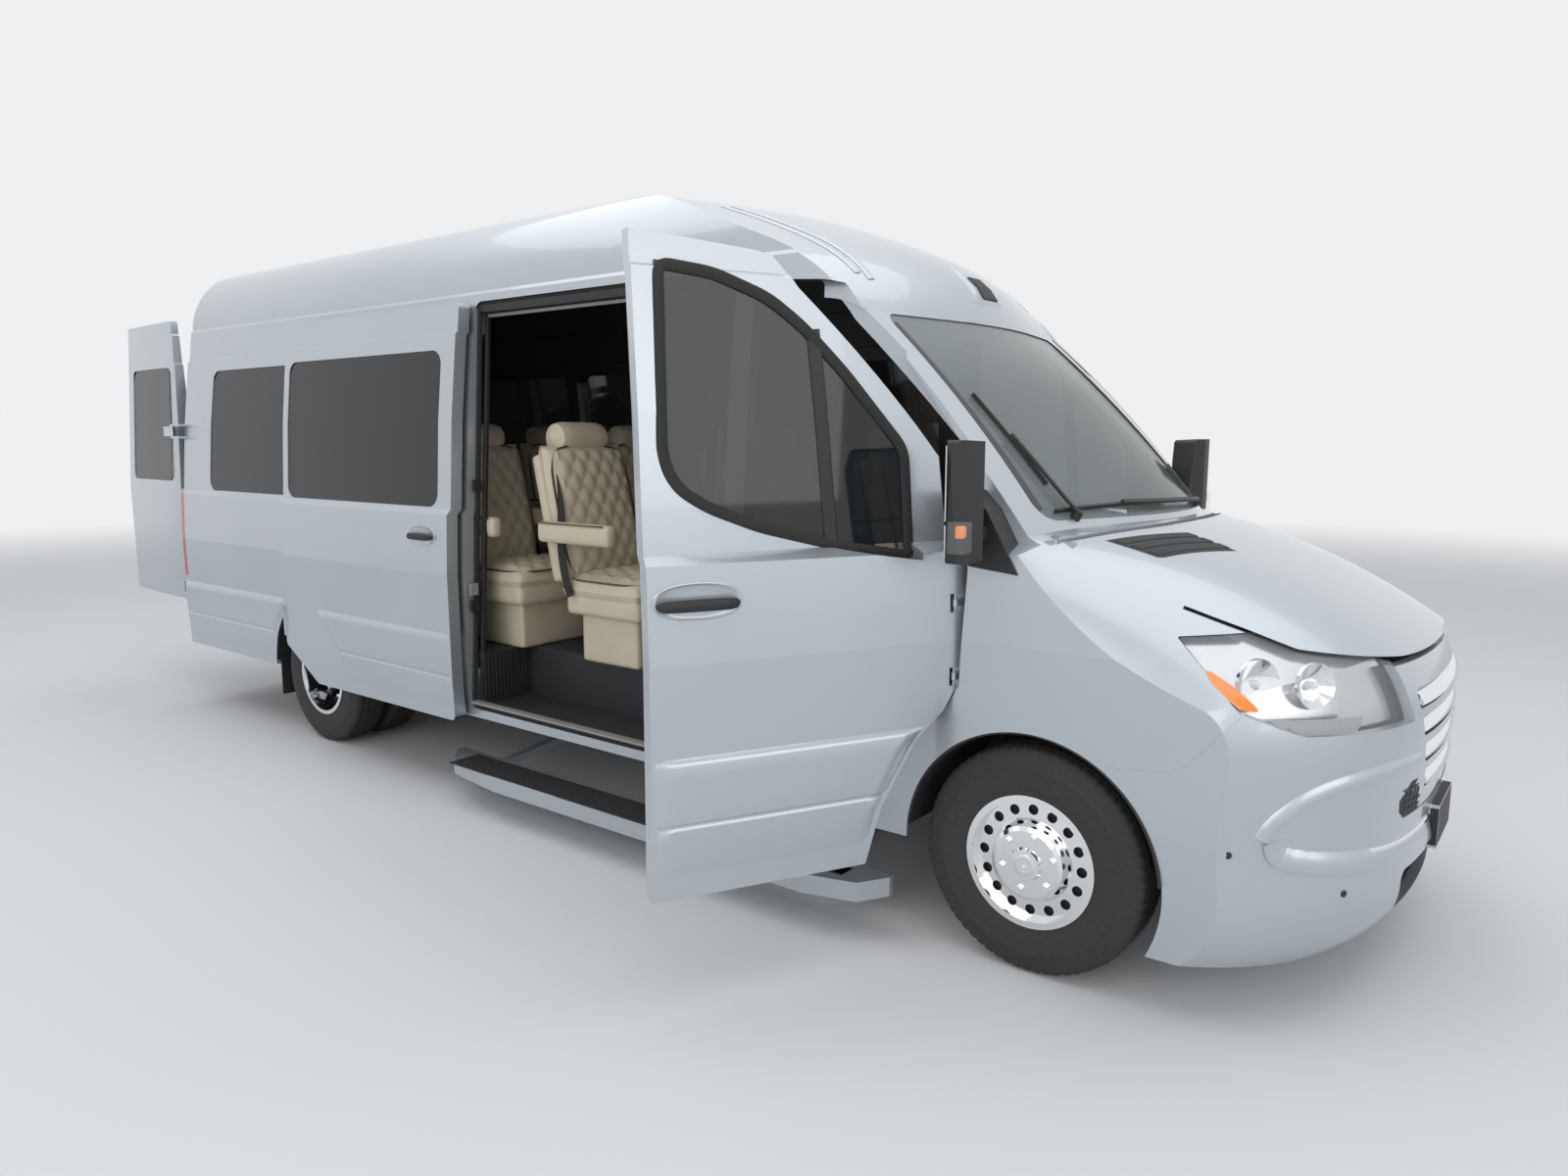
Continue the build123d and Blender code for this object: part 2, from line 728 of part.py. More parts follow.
def step_hole(x, y_riser):
    hole_x = (x[0] - seat_gap, x[1] + seat_gap)
    return block(hole_x, (-far, -y_riser + seat_gap), (floor_low - 1, floor_z + 1))


floor -= step_hole(slide_step[0], slide_step[2]) + both_sides(step_hole(front_step[0], front_step[2]))
parts["step_wells"] = step_well(*slide_step) + both_sides(step_well(*front_step))

# The corners give way to the inner edges of the rear doors as they open
floor -= both_sides(block((floor_rear - 1, floor_rear + 24), (-far, -888), (floor_low - 1, floor_z + 1)))

tub_inner_y = 505


def wheel_tub(outer_radius, inner_radius, y):
    return ring(outer_radius, inner_radius, (rear_axle_x, y[0], axle_z), (rear_axle_x, y[1], axle_z))


over_floor = block((rear_axle_x - 600, rear_axle_x + 600), (-far, far), (floor_low, floor_z + 400))
tub_cut = rod(tub_radius, (rear_axle_x, -floor_half - 1, axle_z), (rear_axle_x, -tub_inner_y, axle_z))
tub = wheel_tub(tub_radius, rear_arch_radius, (-floor_half, -tub_inner_y))
tub += rod(tub_radius, (rear_axle_x, -tub_inner_y - 10, axle_z), (rear_axle_x, -tub_inner_y, axle_z))
floor = floor - both_sides(tub_cut) + both_sides(tub & over_floor)
parts["floor_pan"] = floor

# ---------------------------------------------------------------------------
# Wheel arch liners and rear mud flaps
# ---------------------------------------------------------------------------
liner_thickness = 7
liner_inner_y = 548
front_liner_radius = arch_radius - seat_gap
front_liner = ring(
    front_liner_radius,
    front_liner_radius - liner_thickness,
    (0, -half_width + 20, axle_z),
    (0, -liner_inner_y, axle_z),
)
front_liner += rod(front_liner_radius, (0, -liner_inner_y, axle_z), (0, -liner_inner_y + 6, axle_z))
front_liner -= block((-130, 130), (-600, -500), (0, axle_z + 220))
liner = front_liner & block((-500, 500), (-far, 0), (axle_z + 40, 1000))
rear_liner_radius = rear_arch_radius - seat_gap
rear_liner = ring(
    rear_liner_radius,
    rear_liner_radius - liner_thickness,
    (rear_axle_x, -half_width + 8, axle_z),
    (rear_axle_x, -floor_half - 2, axle_z),
)
rear_liner += ring(
    rear_liner_radius,
    rear_liner_radius - liner_thickness,
    (rear_axle_x, -floor_half - 2, axle_z),
    (rear_axle_x, -tub_inner_y - 12, axle_z),
) & block((rear_axle_x - 600, rear_axle_x + 600), (-far, 0), (0, floor_low - seat_gap))
liner += rear_liner & block((rear_axle_x - 600, rear_axle_x + 600), (-far, 0), (axle_z + 40, 1000))
flap_x = rear_axle_x - rear_liner_radius + 6
liner += block((flap_x, flap_x + 8), (-half_width + 30, -floor_half + 240), (axle_z - 170, axle_z + 60))
parts["arch_liners"] = both_sides(liner)

# ---------------------------------------------------------------------------
# Windshield and side glass
# ---------------------------------------------------------------------------
shield_block = block((-900, 400), (-far, far), (cowl_z - 20, header_z + 20))
pane = (lengthwise_form(glass_inset) & shield_block) - lengthwise_form(glass_inset + glass_thickness)
parts["windshield"] = largest(pane & front_prism(offset(shield_front, -seat_gap), -900, 400))

right_slab = extrude(glass_slice(body_split), amount=tail_x - body_split)
side_glass = Part()
for outline in (middle_window, rear_window):
    side_glass += both_sides(right_slab & side_prism(offset(outline, -seat_gap), -far, 0))
side_glass += left_of(right_slab & side_prism(offset(slide_window, -seat_gap), -far, 0))
slide_glass = right_slab & side_prism(offset(slide_pane_outline, -seat_gap), -far, 0)
slide_place = Pos(slide_shift_x, slide_shift_y, 0)
parts["side_glass"] = side_glass + slide_place * slide_glass

# ---------------------------------------------------------------------------
# Sliding door, stored open: rear roller on the belt rail, others on the sill and the roof rail
# ---------------------------------------------------------------------------
sliding_door = slide_place * slide_closed
door_inner = half_width - wall - slide_shift_y
roller_x = slide_rear + slide_shift_x
for x, z, lean_in in (
    (roller_x + 90, belt_z - 90, 8.7),
    (slide_front + slide_shift_x - 120, 500, 1.4),
    (slide_front + slide_shift_x - 120, shoulder_z - 100, 123.2),
):
    roller_y = (-door_inner - 8 + lean_in, -side_y(min(z, 1080)) - seat_gap + lean_in)
    sliding_door += block((x - 35, x + 35), roller_y, (z - 22, z + 22))
parts["sliding_door"] = sliding_door

# ---------------------------------------------------------------------------
# Rear bumper, running boards and mirrors
# ---------------------------------------------------------------------------
bumper_half = 880 - seat_gap
bumper_outline = rounded(
    (tail_x + 88, sill_z + 10),
    (tail_x - 12, sill_z + 10),
    (tail_x - 18, sill_z + 170),
    (tail_x + 10, rear_low - 15),
    (tail_x + 88, rear_low - 15),
    radius=12,
)
bumper_hollow = offset(bumper_outline, -14)
rear_bumper = side_prism(bumper_outline, -bumper_half, bumper_half)
parts["rear_bumper"] = rear_bumper - side_prism(bumper_hollow, -bumper_half - 1, bumper_half + 1)

board_z = 210
board_plan = polygon(
    (-495, -985),
    (-560, -1095),
    (-760, -1150),
    (-2500, -1160),
    (-2860, -1110),
    (-2990, -1000),
    (-2990, -960),
    (-495, -960),
)
board = Pos(0, 0, board_z - 70) * extrude(board_plan, amount=70)
rail_outer_y = 450
strap = polygon(
    (-rail_outer_y - seat_gap, 560),
    (-rail_outer_y - seat_gap, 610),
    (-rail_outer_y - 20, 610),
    (-rail_outer_y - 60, 250),
    (-1000, board_z - 20),
    (-1000, board_z - 50),
    (-rail_outer_y - 40, 215),
)
for x in (-760, -1420, -2700):
    board += front_prism(strap, x - 25, x + 25)
parts["running_boards"] = both_sides(board)

mirror_low = 1350
mirror_top = 1719
mirror_reach = half_width + 213
head_plan = polygon(
    (-247, -half_width - 12),
    (-187, -mirror_reach + 18),
    (-163, -mirror_reach),
    (-128, -mirror_reach + 53),
    (-122, -mirror_reach + 133),
    (-163, -half_width),
)
head = Pos(0, 0, mirror_low) * extrude(head_plan, amount=mirror_top - mirror_low)
head_front = rounded(
    (-half_width + 6, mirror_low + 52),
    (-half_width - 20, mirror_top - 6),
    (-mirror_reach + 20, mirror_top),
    (-mirror_reach - 2, mirror_top - 70),
    (-mirror_reach + 20, mirror_low),
    (-half_width - 60, mirror_low + 4),
    radius=18,
)
head &= front_prism(head_front, -400, 0)
mirror_arm = polygon((-215, -half_width + 60), (-215, -half_width - 60), (-165, -half_width - 60), (-150, -half_width + 60))
head += Pos(0, 0, mirror_low + 56) * extrude(mirror_arm, amount=46)
mirror_foot = polygon((-50, 1305), (-221, 1322), (-221, 1560), (-160, 1500))
foot = side_prism(mirror_foot, -half_width + 15, -half_width + 130) - front_outer
parts["mirrors"] = both_sides(largest(head + largest(foot)))

# ---------------------------------------------------------------------------
# Chassis: frame rails, engine, drive line, springs, tank and exhaust
# ---------------------------------------------------------------------------
rail_inner_y = 380
rail_low = 540
rail_top = floor_low - seat_gap
rail_rear = tail_x + 100
rail_front = front_reach - 160
rail_wall = 8
rail = block((rail_rear, rail_front), (-rail_outer_y, -rail_inner_y), (rail_low, rail_top))
rail -= block(
    (rail_rear - 1, rail_front + 1),
    (-rail_outer_y + rail_wall, -rail_inner_y + 1),
    (rail_low + rail_wall, rail_top - rail_wall),
)
chassis = both_sides(rail)
member_low = 545
cross_members = (rail_front - 60, -1350, -1900, -3000, -3700, -5050, rail_rear + 40)
for x in cross_members:
    chassis += block((x - 30, x + 30), (-rail_outer_y + 2, rail_outer_y - 2), (member_low, member_low + 55))
parts["chassis_frame"] = chassis

engine_front = 500
gearbox_z = 520
gearbox_rear = -880
engine = block((-150, engine_front), (-280, 280), (450, 1060))
engine = fillet(engine.edges().filter_by(Axis.X), 40)
engine += rod(125, (-140, 0, gearbox_z), (gearbox_rear, 0, gearbox_z))
for side in (-1, 1):
    mount_y = sorted((side * 270, side * (rail_inner_y - seat_gap)))
    engine += block((120, 200), mount_y, (570, 630))
parts["engine_block"] = engine

shaft_radius = 36
pinion = (rear_axle_x + 190, 0, axle_z)
joint_length = 70
shaft_front = (gearbox_rear - joint_length, 0, gearbox_z)
shaft_rear = (pinion[0] + joint_length, 0, axle_z)
propshaft = rod(shaft_radius, shaft_front, shaft_rear)
propshaft += rod(shaft_radius + 6, shaft_front, (gearbox_rear - seat_gap, 0, gearbox_z))
propshaft += rod(shaft_radius + 6, shaft_rear, (pinion[0] + seat_gap, 0, axle_z))
parts["propshaft"] = propshaft

twin_inner_y = outer_twin_y - twin_spacing
axle_radius = 55
spindle_radius = 50
spindle_end = outer_twin_y - 10
rear_axle = rod(axle_radius, (rear_axle_x, -twin_inner_y - 50, axle_z), (rear_axle_x, twin_inner_y + 50, axle_z))
rear_axle += rod(spindle_radius, (rear_axle_x, -spindle_end, axle_z), (rear_axle_x, spindle_end, axle_z))
rear_axle += Pos(rear_axle_x, 0, axle_z) * Sphere(150)
rear_axle += rod(60, (rear_axle_x, 0, axle_z), pinion)
spring_y = (rail_inner_y + rail_outer_y) / 2
spring_seat_z = axle_z + 68
for side in (-1, 1):
    seat_y = sorted((side * (spring_y - 32), side * (spring_y + 32)))
    rear_axle += block((rear_axle_x - 60, rear_axle_x + 60), seat_y, (axle_z + 20, spring_seat_z))
parts["rear_axle"] = rear_axle

spring = Part()
leaf = 11
for number, half_length in enumerate((640, 430, 250)):
    low = spring_seat_z + seat_gap + leaf * (2 - number)
    rise = 42 * (half_length / 640) ** 2
    arc = [(rear_axle_x - half_length, low + rise), (rear_axle_x, low), (rear_axle_x + half_length, low + rise)]
    edges = ThreePointArc(*arc) + Line(arc[2], (arc[2][0], arc[2][1] + leaf))
    edges += ThreePointArc(*[(x, z + leaf) for x, z in reversed(arc)]) + Line((arc[0][0], arc[0][1] + leaf), arc[0])
    spring += side_prism(make_face(edges), -spring_y - 30, -spring_y + 30)
for side in (-1, 1):
    x = rear_axle_x + side * 625
    spring += block((x - 18, x + 18), (-spring_y - 30, -spring_y + 30), (spring_seat_z + 60, rail_low - seat_gap))
parts["leaf_springs"] = both_sides(spring)

tank = block((-2560, -1520), (rail_outer_y + seat_gap, 800), (380, 610))
parts["fuel_tank"] = fillet(tank.edges().filter_by(Axis.X), 35)

pipe_radius = 28
pipe_z = 490
exhaust_path = FilletPolyline(
    (-120, -320, pipe_z),
    (-5080, -320, pipe_z),
    (-5330, -700, pipe_z - 20),
    (-5760, -700, pipe_z - 20),
    radius=120,
)
exhaust = sweep(Plane(exhaust_path @ 0, z_dir=exhaust_path % 0) * Circle(pipe_radius), exhaust_path)
exhaust += rod(85, (-2380, -320, pipe_z - 25), (-2920, -320, pipe_z - 25))
for x in (-1900, -3700):
    exhaust += block((x - 12, x + 12), (-326, -314), (pipe_z + 10, member_low - seat_gap))
parts["exhaust"] = exhaust

# ---------------------------------------------------------------------------
# Front axle, knuckles, wheels
# ---------------------------------------------------------------------------
kingpin_y = 790
front_wheel_y = front_track / 2
kingpin_radius = 12
knuckle_half = 118
arm_pin = 26
front_axle = block((-70, 70), (-440, 440), (axle_z - 80, axle_z + 20))
for side in (-1, 1):
    tower_y = sorted((side * 388, side * 442))
    front_axle += block((-45, 45), tower_y, (axle_z, rail_low - seat_gap))
    low_arm = polygon((-70, side * 400), (70, side * 400), (26, side * (kingpin_y + 20)), (-26, side * (kingpin_y + 20)))
    front_axle += Pos(0, 0, axle_z - knuckle_half - 22) * extrude(low_arm, amount=21.7)
    front_axle += block((-70, 70), sorted((side * 395, side * 440)), (axle_z - knuckle_half - 22, axle_z))
    top_arm = polygon((-30, side * 420), (30, side * 420), (22, side * (kingpin_y + 20)), (-22, side * (kingpin_y + 20)))
    front_axle += Pos(0, 0, axle_z + knuckle_half + seat_gap) * extrude(top_arm, amount=20)
    for start, end in (
        (axle_z - knuckle_half - 10, axle_z - knuckle_half + arm_pin),
        (axle_z + knuckle_half - arm_pin, axle_z + knuckle_half + 10),
    ):
        front_axle += rod(kingpin_radius, (0, side * kingpin_y, start), (0, side * kingpin_y, end))
parts["front_axle"] = front_axle

spindle_tip = front_wheel_y + 48
spindle_front = 24
knuckle = rod(28, (0, -kingpin_y, axle_z - knuckle_half), (0, -kingpin_y, axle_z + knuckle_half))
knuckle += block((-34, 34), (-kingpin_y - 22, -kingpin_y + 16), (axle_z - 60, axle_z + 60))
knuckle += rod(spindle_front, (0, -kingpin_y, axle_z), (0, -spindle_tip, axle_z))
for start, end in (
    (axle_z - knuckle_half - 1, axle_z - knuckle_half + arm_pin + 4),
    (axle_z + knuckle_half - arm_pin - 4, axle_z + knuckle_half + 1),
):
    knuckle -= rod(kingpin_radius + seat_gap, (0, -kingpin_y, start), (0, -kingpin_y, end))
parts["knuckle_right"] = knuckle
parts["knuckle_left"] = left_of(knuckle)


def wheel_form(profile, centre_y, x):
    """A profile of (offset from the wheel's middle, radius) points, turned about the axle."""
    points = [(x, -centre_y - offset_out, axle_z + radius) for offset_out, radius in profile]
    face = make_face(Polyline(*[(-p[1], p[2] - axle_z) for p in points], close=True))
    turned = revolve(Plane.XY * face, Axis.X)
    return Pos(x, 0, axle_z) * Rot(0, 0, -90) * turned


tyre_half = tyre_width / 2
tyre_profile = [
    (-tyre_half + 12, rim_radius),
    (-tyre_half + 12, rim_radius + 22),
    (-tyre_half, rim_radius + 72),
    (-tyre_half + 3, axle_z - 48),
    (-tyre_half + 16, axle_z - 12),
    (-tyre_half + 38, axle_z),
    (tyre_half - 38, axle_z),
    (tyre_half - 16, axle_z - 12),
    (tyre_half - 3, axle_z - 48),
    (tyre_half, rim_radius + 72),
    (tyre_half - 12, rim_radius + 22),
    (tyre_half - 12, rim_radius),
]
flange = tyre_half - 12 + seat_gap
rim_outer = rim_radius - seat_gap
rim_inner = rim_radius - 8
barrel_profile = [
    (-flange - 6, rim_inner),
    (-flange - 6, rim_radius + 13),
    (-flange, rim_radius + 13),
    (-flange, rim_outer),
    (flange, rim_outer),
    (flange, rim_radius + 13),
    (flange + 6, rim_radius + 13),
    (flange + 6, rim_inner),
]
hole_circle = 168
hole_radius = 17
hole_count = 16


def disc_holes(centre_y, x, low, high):
    holes = Part()
    for number in range(hole_count):
        angle = 2 * math.pi * number / hole_count
        px = x + hole_circle * math.cos(angle)
        pz = axle_z + hole_circle * math.sin(angle)
        holes += rod(hole_radius, (px, -centre_y - low, pz), (px, -centre_y - high, pz))
    return holes


front_disc = [
    (-20, spindle_front + seat_gap),
    (-20, 62),
    (50, 62),
    (56, 132),
    (56, rim_inner + 1),
    (64, rim_inner + 1),
    (66, 138),
    (104, 122),
    (110, 108),
    (110, 56),
    (122, 50),
    (124, 0),
    (50, 0),
    (50, spindle_front + seat_gap),
]
tyre_right = wheel_form(tyre_profile, front_wheel_y, 0)
rim_right = wheel_form(barrel_profile, front_wheel_y, 0) + wheel_form(front_disc, front_wheel_y, 0)
rim_right -= disc_holes(front_wheel_y, 0, 40, 80)
for number in range(6):
    angle = 2 * math.pi * number / 6 + 0.3
    px = 90 * math.cos(angle)
    pz = axle_z + 90 * math.sin(angle)
    rim_right += rod(13, (px, -front_wheel_y - 100, pz), (px, -front_wheel_y - 122, pz))
parts["front_tyre_right"] = tyre_right
parts["front_rim_right"] = rim_right
parts["front_tyre_left"] = left_of(tyre_right)
parts["front_rim_left"] = left_of(rim_right)

twin_middle = (outer_twin_y + twin_inner_y) / 2
twin_half = twin_spacing / 2
hub_bore = spindle_radius + seat_gap
twin_hub = [
    (-twin_half + 58, hub_bore),
    (-twin_half + 58, 86),
    (-8, 86),
    (-8, 112),
    (-twin_half + 60, 136),
    (-twin_half + 60, rim_inner + 1),
    (-twin_half + 68, rim_inner + 1),
    (-twin_half + 68, 140),
    (0, 122),
    (twin_half - 68, 140),
    (twin_half - 68, rim_inner + 1),
    (twin_half - 60, rim_inner + 1),
    (twin_half - 60, 136),
    (8, 112),
    (8, 86),
    (twin_half + 20, 78),
    (twin_half + 30, 66),
    (twin_half + 30, 0),
    (spindle_end - twin_middle + 3, 0),
    (spindle_end - twin_middle + 3, hub_bore),
]
twins = wheel_form(tyre_profile, outer_twin_y, rear_axle_x) + wheel_form(tyre_profile, twin_inner_y, rear_axle_x)
twin_rims = wheel_form(twin_hub, twin_middle, rear_axle_x)
for centre_y in (outer_twin_y, twin_inner_y):
    twin_rims += wheel_form(barrel_profile, centre_y, rear_axle_x)
twin_rims -= disc_holes(twin_middle, rear_axle_x, -70, 70)
parts["rear_tyres_right"] = twins
parts["rear_rims_right"] = twin_rims
parts["rear_tyres_left"] = left_of(twins)
parts["rear_rims_left"] = left_of(twin_rims)

# ---------------------------------------------------------------------------
# Cabin: dashboard, steering wheel and seats
# ---------------------------------------------------------------------------
bulkhead_face = -200 - seat_gap
dash_outline = rounded(
    (bulkhead_face, 960),
    (bulkhead_face, cowl_z - 60),
    (-330, cowl_z - 70),
    (-470, cowl_z - 115),
    (-545, cowl_z - 190),
    (-520, 1090),
    (-430, 980),
    radius=14,
)
wheel_centre = Vector(-640, 480, 1200)
column_tilt = math.radians(35)
column_dir = Vector(-math.cos(column_tilt), 0, math.sin(column_tilt))
wheel_hub_half = 22
column_end = wheel_centre - column_dir * (wheel_hub_half + seat_gap)
column_start = wheel_centre - column_dir * 260
dash_half = side_y(floor_low) - post_inset - post_depth - 24
dashboard = side_prism(dash_outline, -dash_half, dash_half)
dashboard += rod(34, tuple(column_start), tuple(column_end))
parts["dashboard"] = dashboard

wheel_plane = Plane(wheel_centre, z_dir=column_dir)
steering = wheel_plane * Torus(190, 15)
steering += wheel_plane * Cylinder(62, 2 * wheel_hub_half)
for angle in (90, 210, 330):
    steering += wheel_plane * Rot(0, 0, angle) * Pos(120, 0, 0) * Box(140, 34, 14)
parts["steering_wheel"] = steering


def seat(x, y, width=520, depth=500, height=1000, armrests=True):
    """A seat facing forward; x is the middle of its cushion."""
    half = width / 2
    cushion_low = floor_z + 220
    cushion_top = floor_z + 400
    cushion = block((x - depth / 2, x + depth / 2), (y - half, y + half), (cushion_low, cushion_top))
    cushion = fillet(cushion.edges(), 40)
    back_profile = rounded(
        (x - depth / 2 + 60, cushion_top - 60),
        (x - depth / 2 - 90, floor_z + height - 60),
        (x - depth / 2 - 190, floor_z + height - 70),
        (x - depth / 2 - 70, cushion_low + 20),
        radius=38,
    )
    back = side_prism(back_profile, y - half + 10, y + half - 10)
    head_middle = (x - depth / 2 - 150, y, floor_z + height + 20)
    head_roll = Pos(*head_middle) * Rot(90, 0, 0) * Cylinder(75, width * 0.62)
    head_roll = fillet(head_roll.edges(), 25)
    post = rod(30, (head_middle[0], y, floor_z + height - 110), head_middle)
    pedestal = block(
        (x - depth / 2 + 70, x + depth / 2 - 60), (y - half + 60, y + half - 60), (floor_z + seat_gap, cushion_low + 20)
    )
    piece = cushion + back + head_roll + post + pedestal
    if armrests:
        for side in (-1, 1):
            arm_y = sorted((y + side * (half - 12), y + side * (half + 58)))
            arm = block((x - depth / 2 - 90, x + depth / 2 - 110), arm_y, (cushion_top + 150, cushion_top + 250))
            arm = fillet(arm.edges(), 22)
            piece += arm
    return piece


parts["front_seats"] = seat(-1030, -520, 500, 490, 980, False) + seat(-1030, 480, 500, 490, 980, False)
captain_seats = Part()
for x in (-2150, -2950, -3720):
    captain_seats += seat(x, -560) + seat(x, 560)
captain_seats += seat(-5150, 0, 1500, 520, 980, False)
parts["captain_seats"] = captain_seats

# ---------------------------------------------------------------------------
# Doors placed as stored: right front and right rear open
# ---------------------------------------------------------------------------
front_door_open = 62.5
rear_door_open = 86


def swung(piece, x, y, angle):
    return Pos(x, y, 0) * Rot(0, 0, angle) * Pos(-x, -y, 0) * piece


parts["front_door_right"] = swung(front_door, front_hinge_x, -front_hinge_y, front_door_open)
parts["front_door_right_glass"] = swung(front_glass, front_hinge_x, -front_hinge_y, front_door_open)
parts["front_door_left"] = left_of(front_door)
parts["front_door_left_glass"] = left_of(front_glass)
parts["rear_door_right"] = swung(rear_door, rear_hinge_x, -rear_hinge_y, rear_door_open)
parts["rear_door_right_glass"] = swung(rear_glass, rear_hinge_x, -rear_hinge_y, rear_door_open)

plate_spacing = 177.8
plate_hole = 3.5
rear_plate_z = 1010
left_rear = left_of(rear_door)
for side in (-1, 1):
    y = 420 + side * plate_spacing / 2
    left_rear -= rod(plate_hole, (tail_x - 50, y, rear_plate_z), (tail_x + 120, y, rear_plate_z))
parts["rear_door_left"] = left_rear
parts["rear_door_left_glass"] = left_of(rear_glass)

bracket_front = front_reach + 15
front_plate_z = 500
bracket = block((front_reach - 22, bracket_front), (-158, 158), (front_plate_z - 70, front_plate_z + 70))
parts["front_bumper"] += bracket
for side in (-1, 1):
    y = side * plate_spacing / 2
    parts["front_bumper"] -= rod(plate_hole, (front_reach - 120, y, front_plate_z), (bracket_front + 5, y, front_plate_z))

# ---------------------------------------------------------------------------
# Move the origin under the middle of the van as it stands with its doors open, and write the files
# ---------------------------------------------------------------------------
rear_door_span = rear_hinge_y - 3
front_door_span = door_rear - front_hinge_x
open_rear_x = rear_hinge_x - rear_door_span * math.sin(math.radians(rear_door_open))
open_front_y = -front_hinge_y + front_door_span * math.sin(math.radians(front_door_open))
origin_x = (bracket_front + open_rear_x) / 2
origin_y = (mirror_reach + open_front_y) / 2
for name, piece in parts.items():
    placed = Pos(-origin_x, -origin_y, 0) * piece
    export_step(Compound([solid.fix() for solid in placed.solids()]), f"parts/{name}.step")
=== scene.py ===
import bpy
import bmesh
import json
import math
from mathutils import Matrix, Vector
from mathutils.bvhtree import BVHTree


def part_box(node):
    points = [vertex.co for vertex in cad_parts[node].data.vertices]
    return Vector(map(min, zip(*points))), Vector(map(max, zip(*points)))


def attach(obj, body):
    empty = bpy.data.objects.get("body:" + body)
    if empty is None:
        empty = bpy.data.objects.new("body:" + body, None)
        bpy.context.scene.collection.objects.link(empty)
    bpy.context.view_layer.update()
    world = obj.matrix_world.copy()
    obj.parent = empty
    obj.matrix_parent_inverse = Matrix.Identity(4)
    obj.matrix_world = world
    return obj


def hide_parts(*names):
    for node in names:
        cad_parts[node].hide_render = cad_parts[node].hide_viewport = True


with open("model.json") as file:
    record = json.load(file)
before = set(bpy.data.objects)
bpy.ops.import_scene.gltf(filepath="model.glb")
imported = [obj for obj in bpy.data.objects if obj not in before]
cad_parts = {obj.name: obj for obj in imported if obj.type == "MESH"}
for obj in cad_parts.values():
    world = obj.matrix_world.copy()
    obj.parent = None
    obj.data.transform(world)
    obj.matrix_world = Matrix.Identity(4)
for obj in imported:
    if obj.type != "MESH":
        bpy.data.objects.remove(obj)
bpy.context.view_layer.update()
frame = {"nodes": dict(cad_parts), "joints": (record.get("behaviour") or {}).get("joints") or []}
nodes = frame["nodes"]
joints = {joint["name"]: joint for joint in frame["joints"]}
print("frame loaded:", len(nodes), "nodes")

leftHub = Vector(joints["front_wheel_left_spin"]["pos_m"])
rightHub = Vector(joints["front_wheel_right_spin"]["pos_m"])
midY = (leftHub.y + rightHub.y) / 2
frontX = leftHub.x
rearX = joints["rear_wheels_left_spin"]["pos_m"][0]


def at(x, y, z):
    # millimetres from the ground under the front axle, on the centre line
    return Vector((frontX + x / 1000, midY + y / 1000, z / 1000))


class Wire:
    # a shader socket that can be used in sums
    def __init__(self, finish, socket):
        self.finish = finish
        self.socket = socket

    def maths(self, operation, first, second=0.0):
        return self.finish.node("ShaderNodeMath", {"operation": operation}, {0: first, 1: second})

    def __add__(self, other):
        return self.maths("ADD", self, other)

    __radd__ = __add__

    def __sub__(self, other):
        return self.maths("SUBTRACT", self, other)

    def __rsub__(self, other):
        return self.maths("SUBTRACT", other, self)

    def __mul__(self, other):
        return self.maths("MULTIPLY", self, other)

    __rmul__ = __mul__

    def above(self, limit):
        return self.maths("GREATER_THAN", self, limit)

    def below(self, limit):
        return self.maths("LESS_THAN", self, limit)

    def wave(self):
        return self.maths("SINE", self)

    def size(self):
        return self.maths("ABSOLUTE", self)


class Finish:
    # one material: constants go straight on the shader, what varies is linked
    def __init__(self, name, constants):
        self.material = bpy.data.materials.new(name)
        self.material.use_nodes = True
        self.tree = self.material.node_tree
        self.shader = self.tree.nodes["Principled BSDF"]
        for socket, value in constants.items():
            if socket == "Base Color":
                value = (*value, 1)
            self.shader.inputs[socket].default_value = value

    def node(self, kind, settings=None, sockets=None, output=0):
        made = self.tree.nodes.new(kind)
        for name, value in (settings or {}).items():
            if name == "stops":
                ramp = made.color_ramp.elements
                while len(ramp) < len(value):
                    ramp.new(0.5)
                for element, (place, colour) in zip(ramp, value):
                    element.position = place
                    element.color = (*colour, 1)
            else:
                setattr(made, name, value)
        for name, value in (sockets or {}).items():
            if isinstance(value, Wire):
                self.tree.links.new(value.socket, made.inputs[name])
            else:
                made.inputs[name].default_value = value
        return Wire(self, made.outputs[output])

    def feed(self, socket, wire):
        self.tree.links.new(wire.socket, self.shader.inputs[socket])

    def place(self):
        # position in the van's frame, split into three numbers
        point = self.node("ShaderNodeTexCoord", output=3)
        split = self.node("ShaderNodeSeparateXYZ", {}, {0: point})
        parts = split.socket.node.outputs
        return [Wire(self, parts[index]) for index in range(3)]

    def facing(self):
        normal = self.node("ShaderNodeTexCoord", output=1)
        split = self.node("ShaderNodeSeparateXYZ", {}, {0: normal})
        parts = split.socket.node.outputs
        return [Wire(self, parts[index]) for index in range(3)]

    def noise(self, scale, detail=2.0, rough=0.5):
        point = self.node("ShaderNodeTexCoord", output=3)
        return self.node(
            "ShaderNodeTexNoise", {}, {"Vector": point, "Scale": scale, "Detail": detail, "Roughness": rough}
        )

    def bump(self, height, strength, distance):
        relief = self.node(
            "ShaderNodeBump", {}, {"Height": height, "Strength": strength, "Distance": distance}
        )
        self.feed("Normal", relief)

    def tint(self, factor, first, second):
        mixed = self.node(
            "ShaderNodeMix",
            {"data_type": "RGBA"},
            {0: factor, 6: (*first, 1), 7: (*second, 1)},
            output=2,
        )
        return mixed


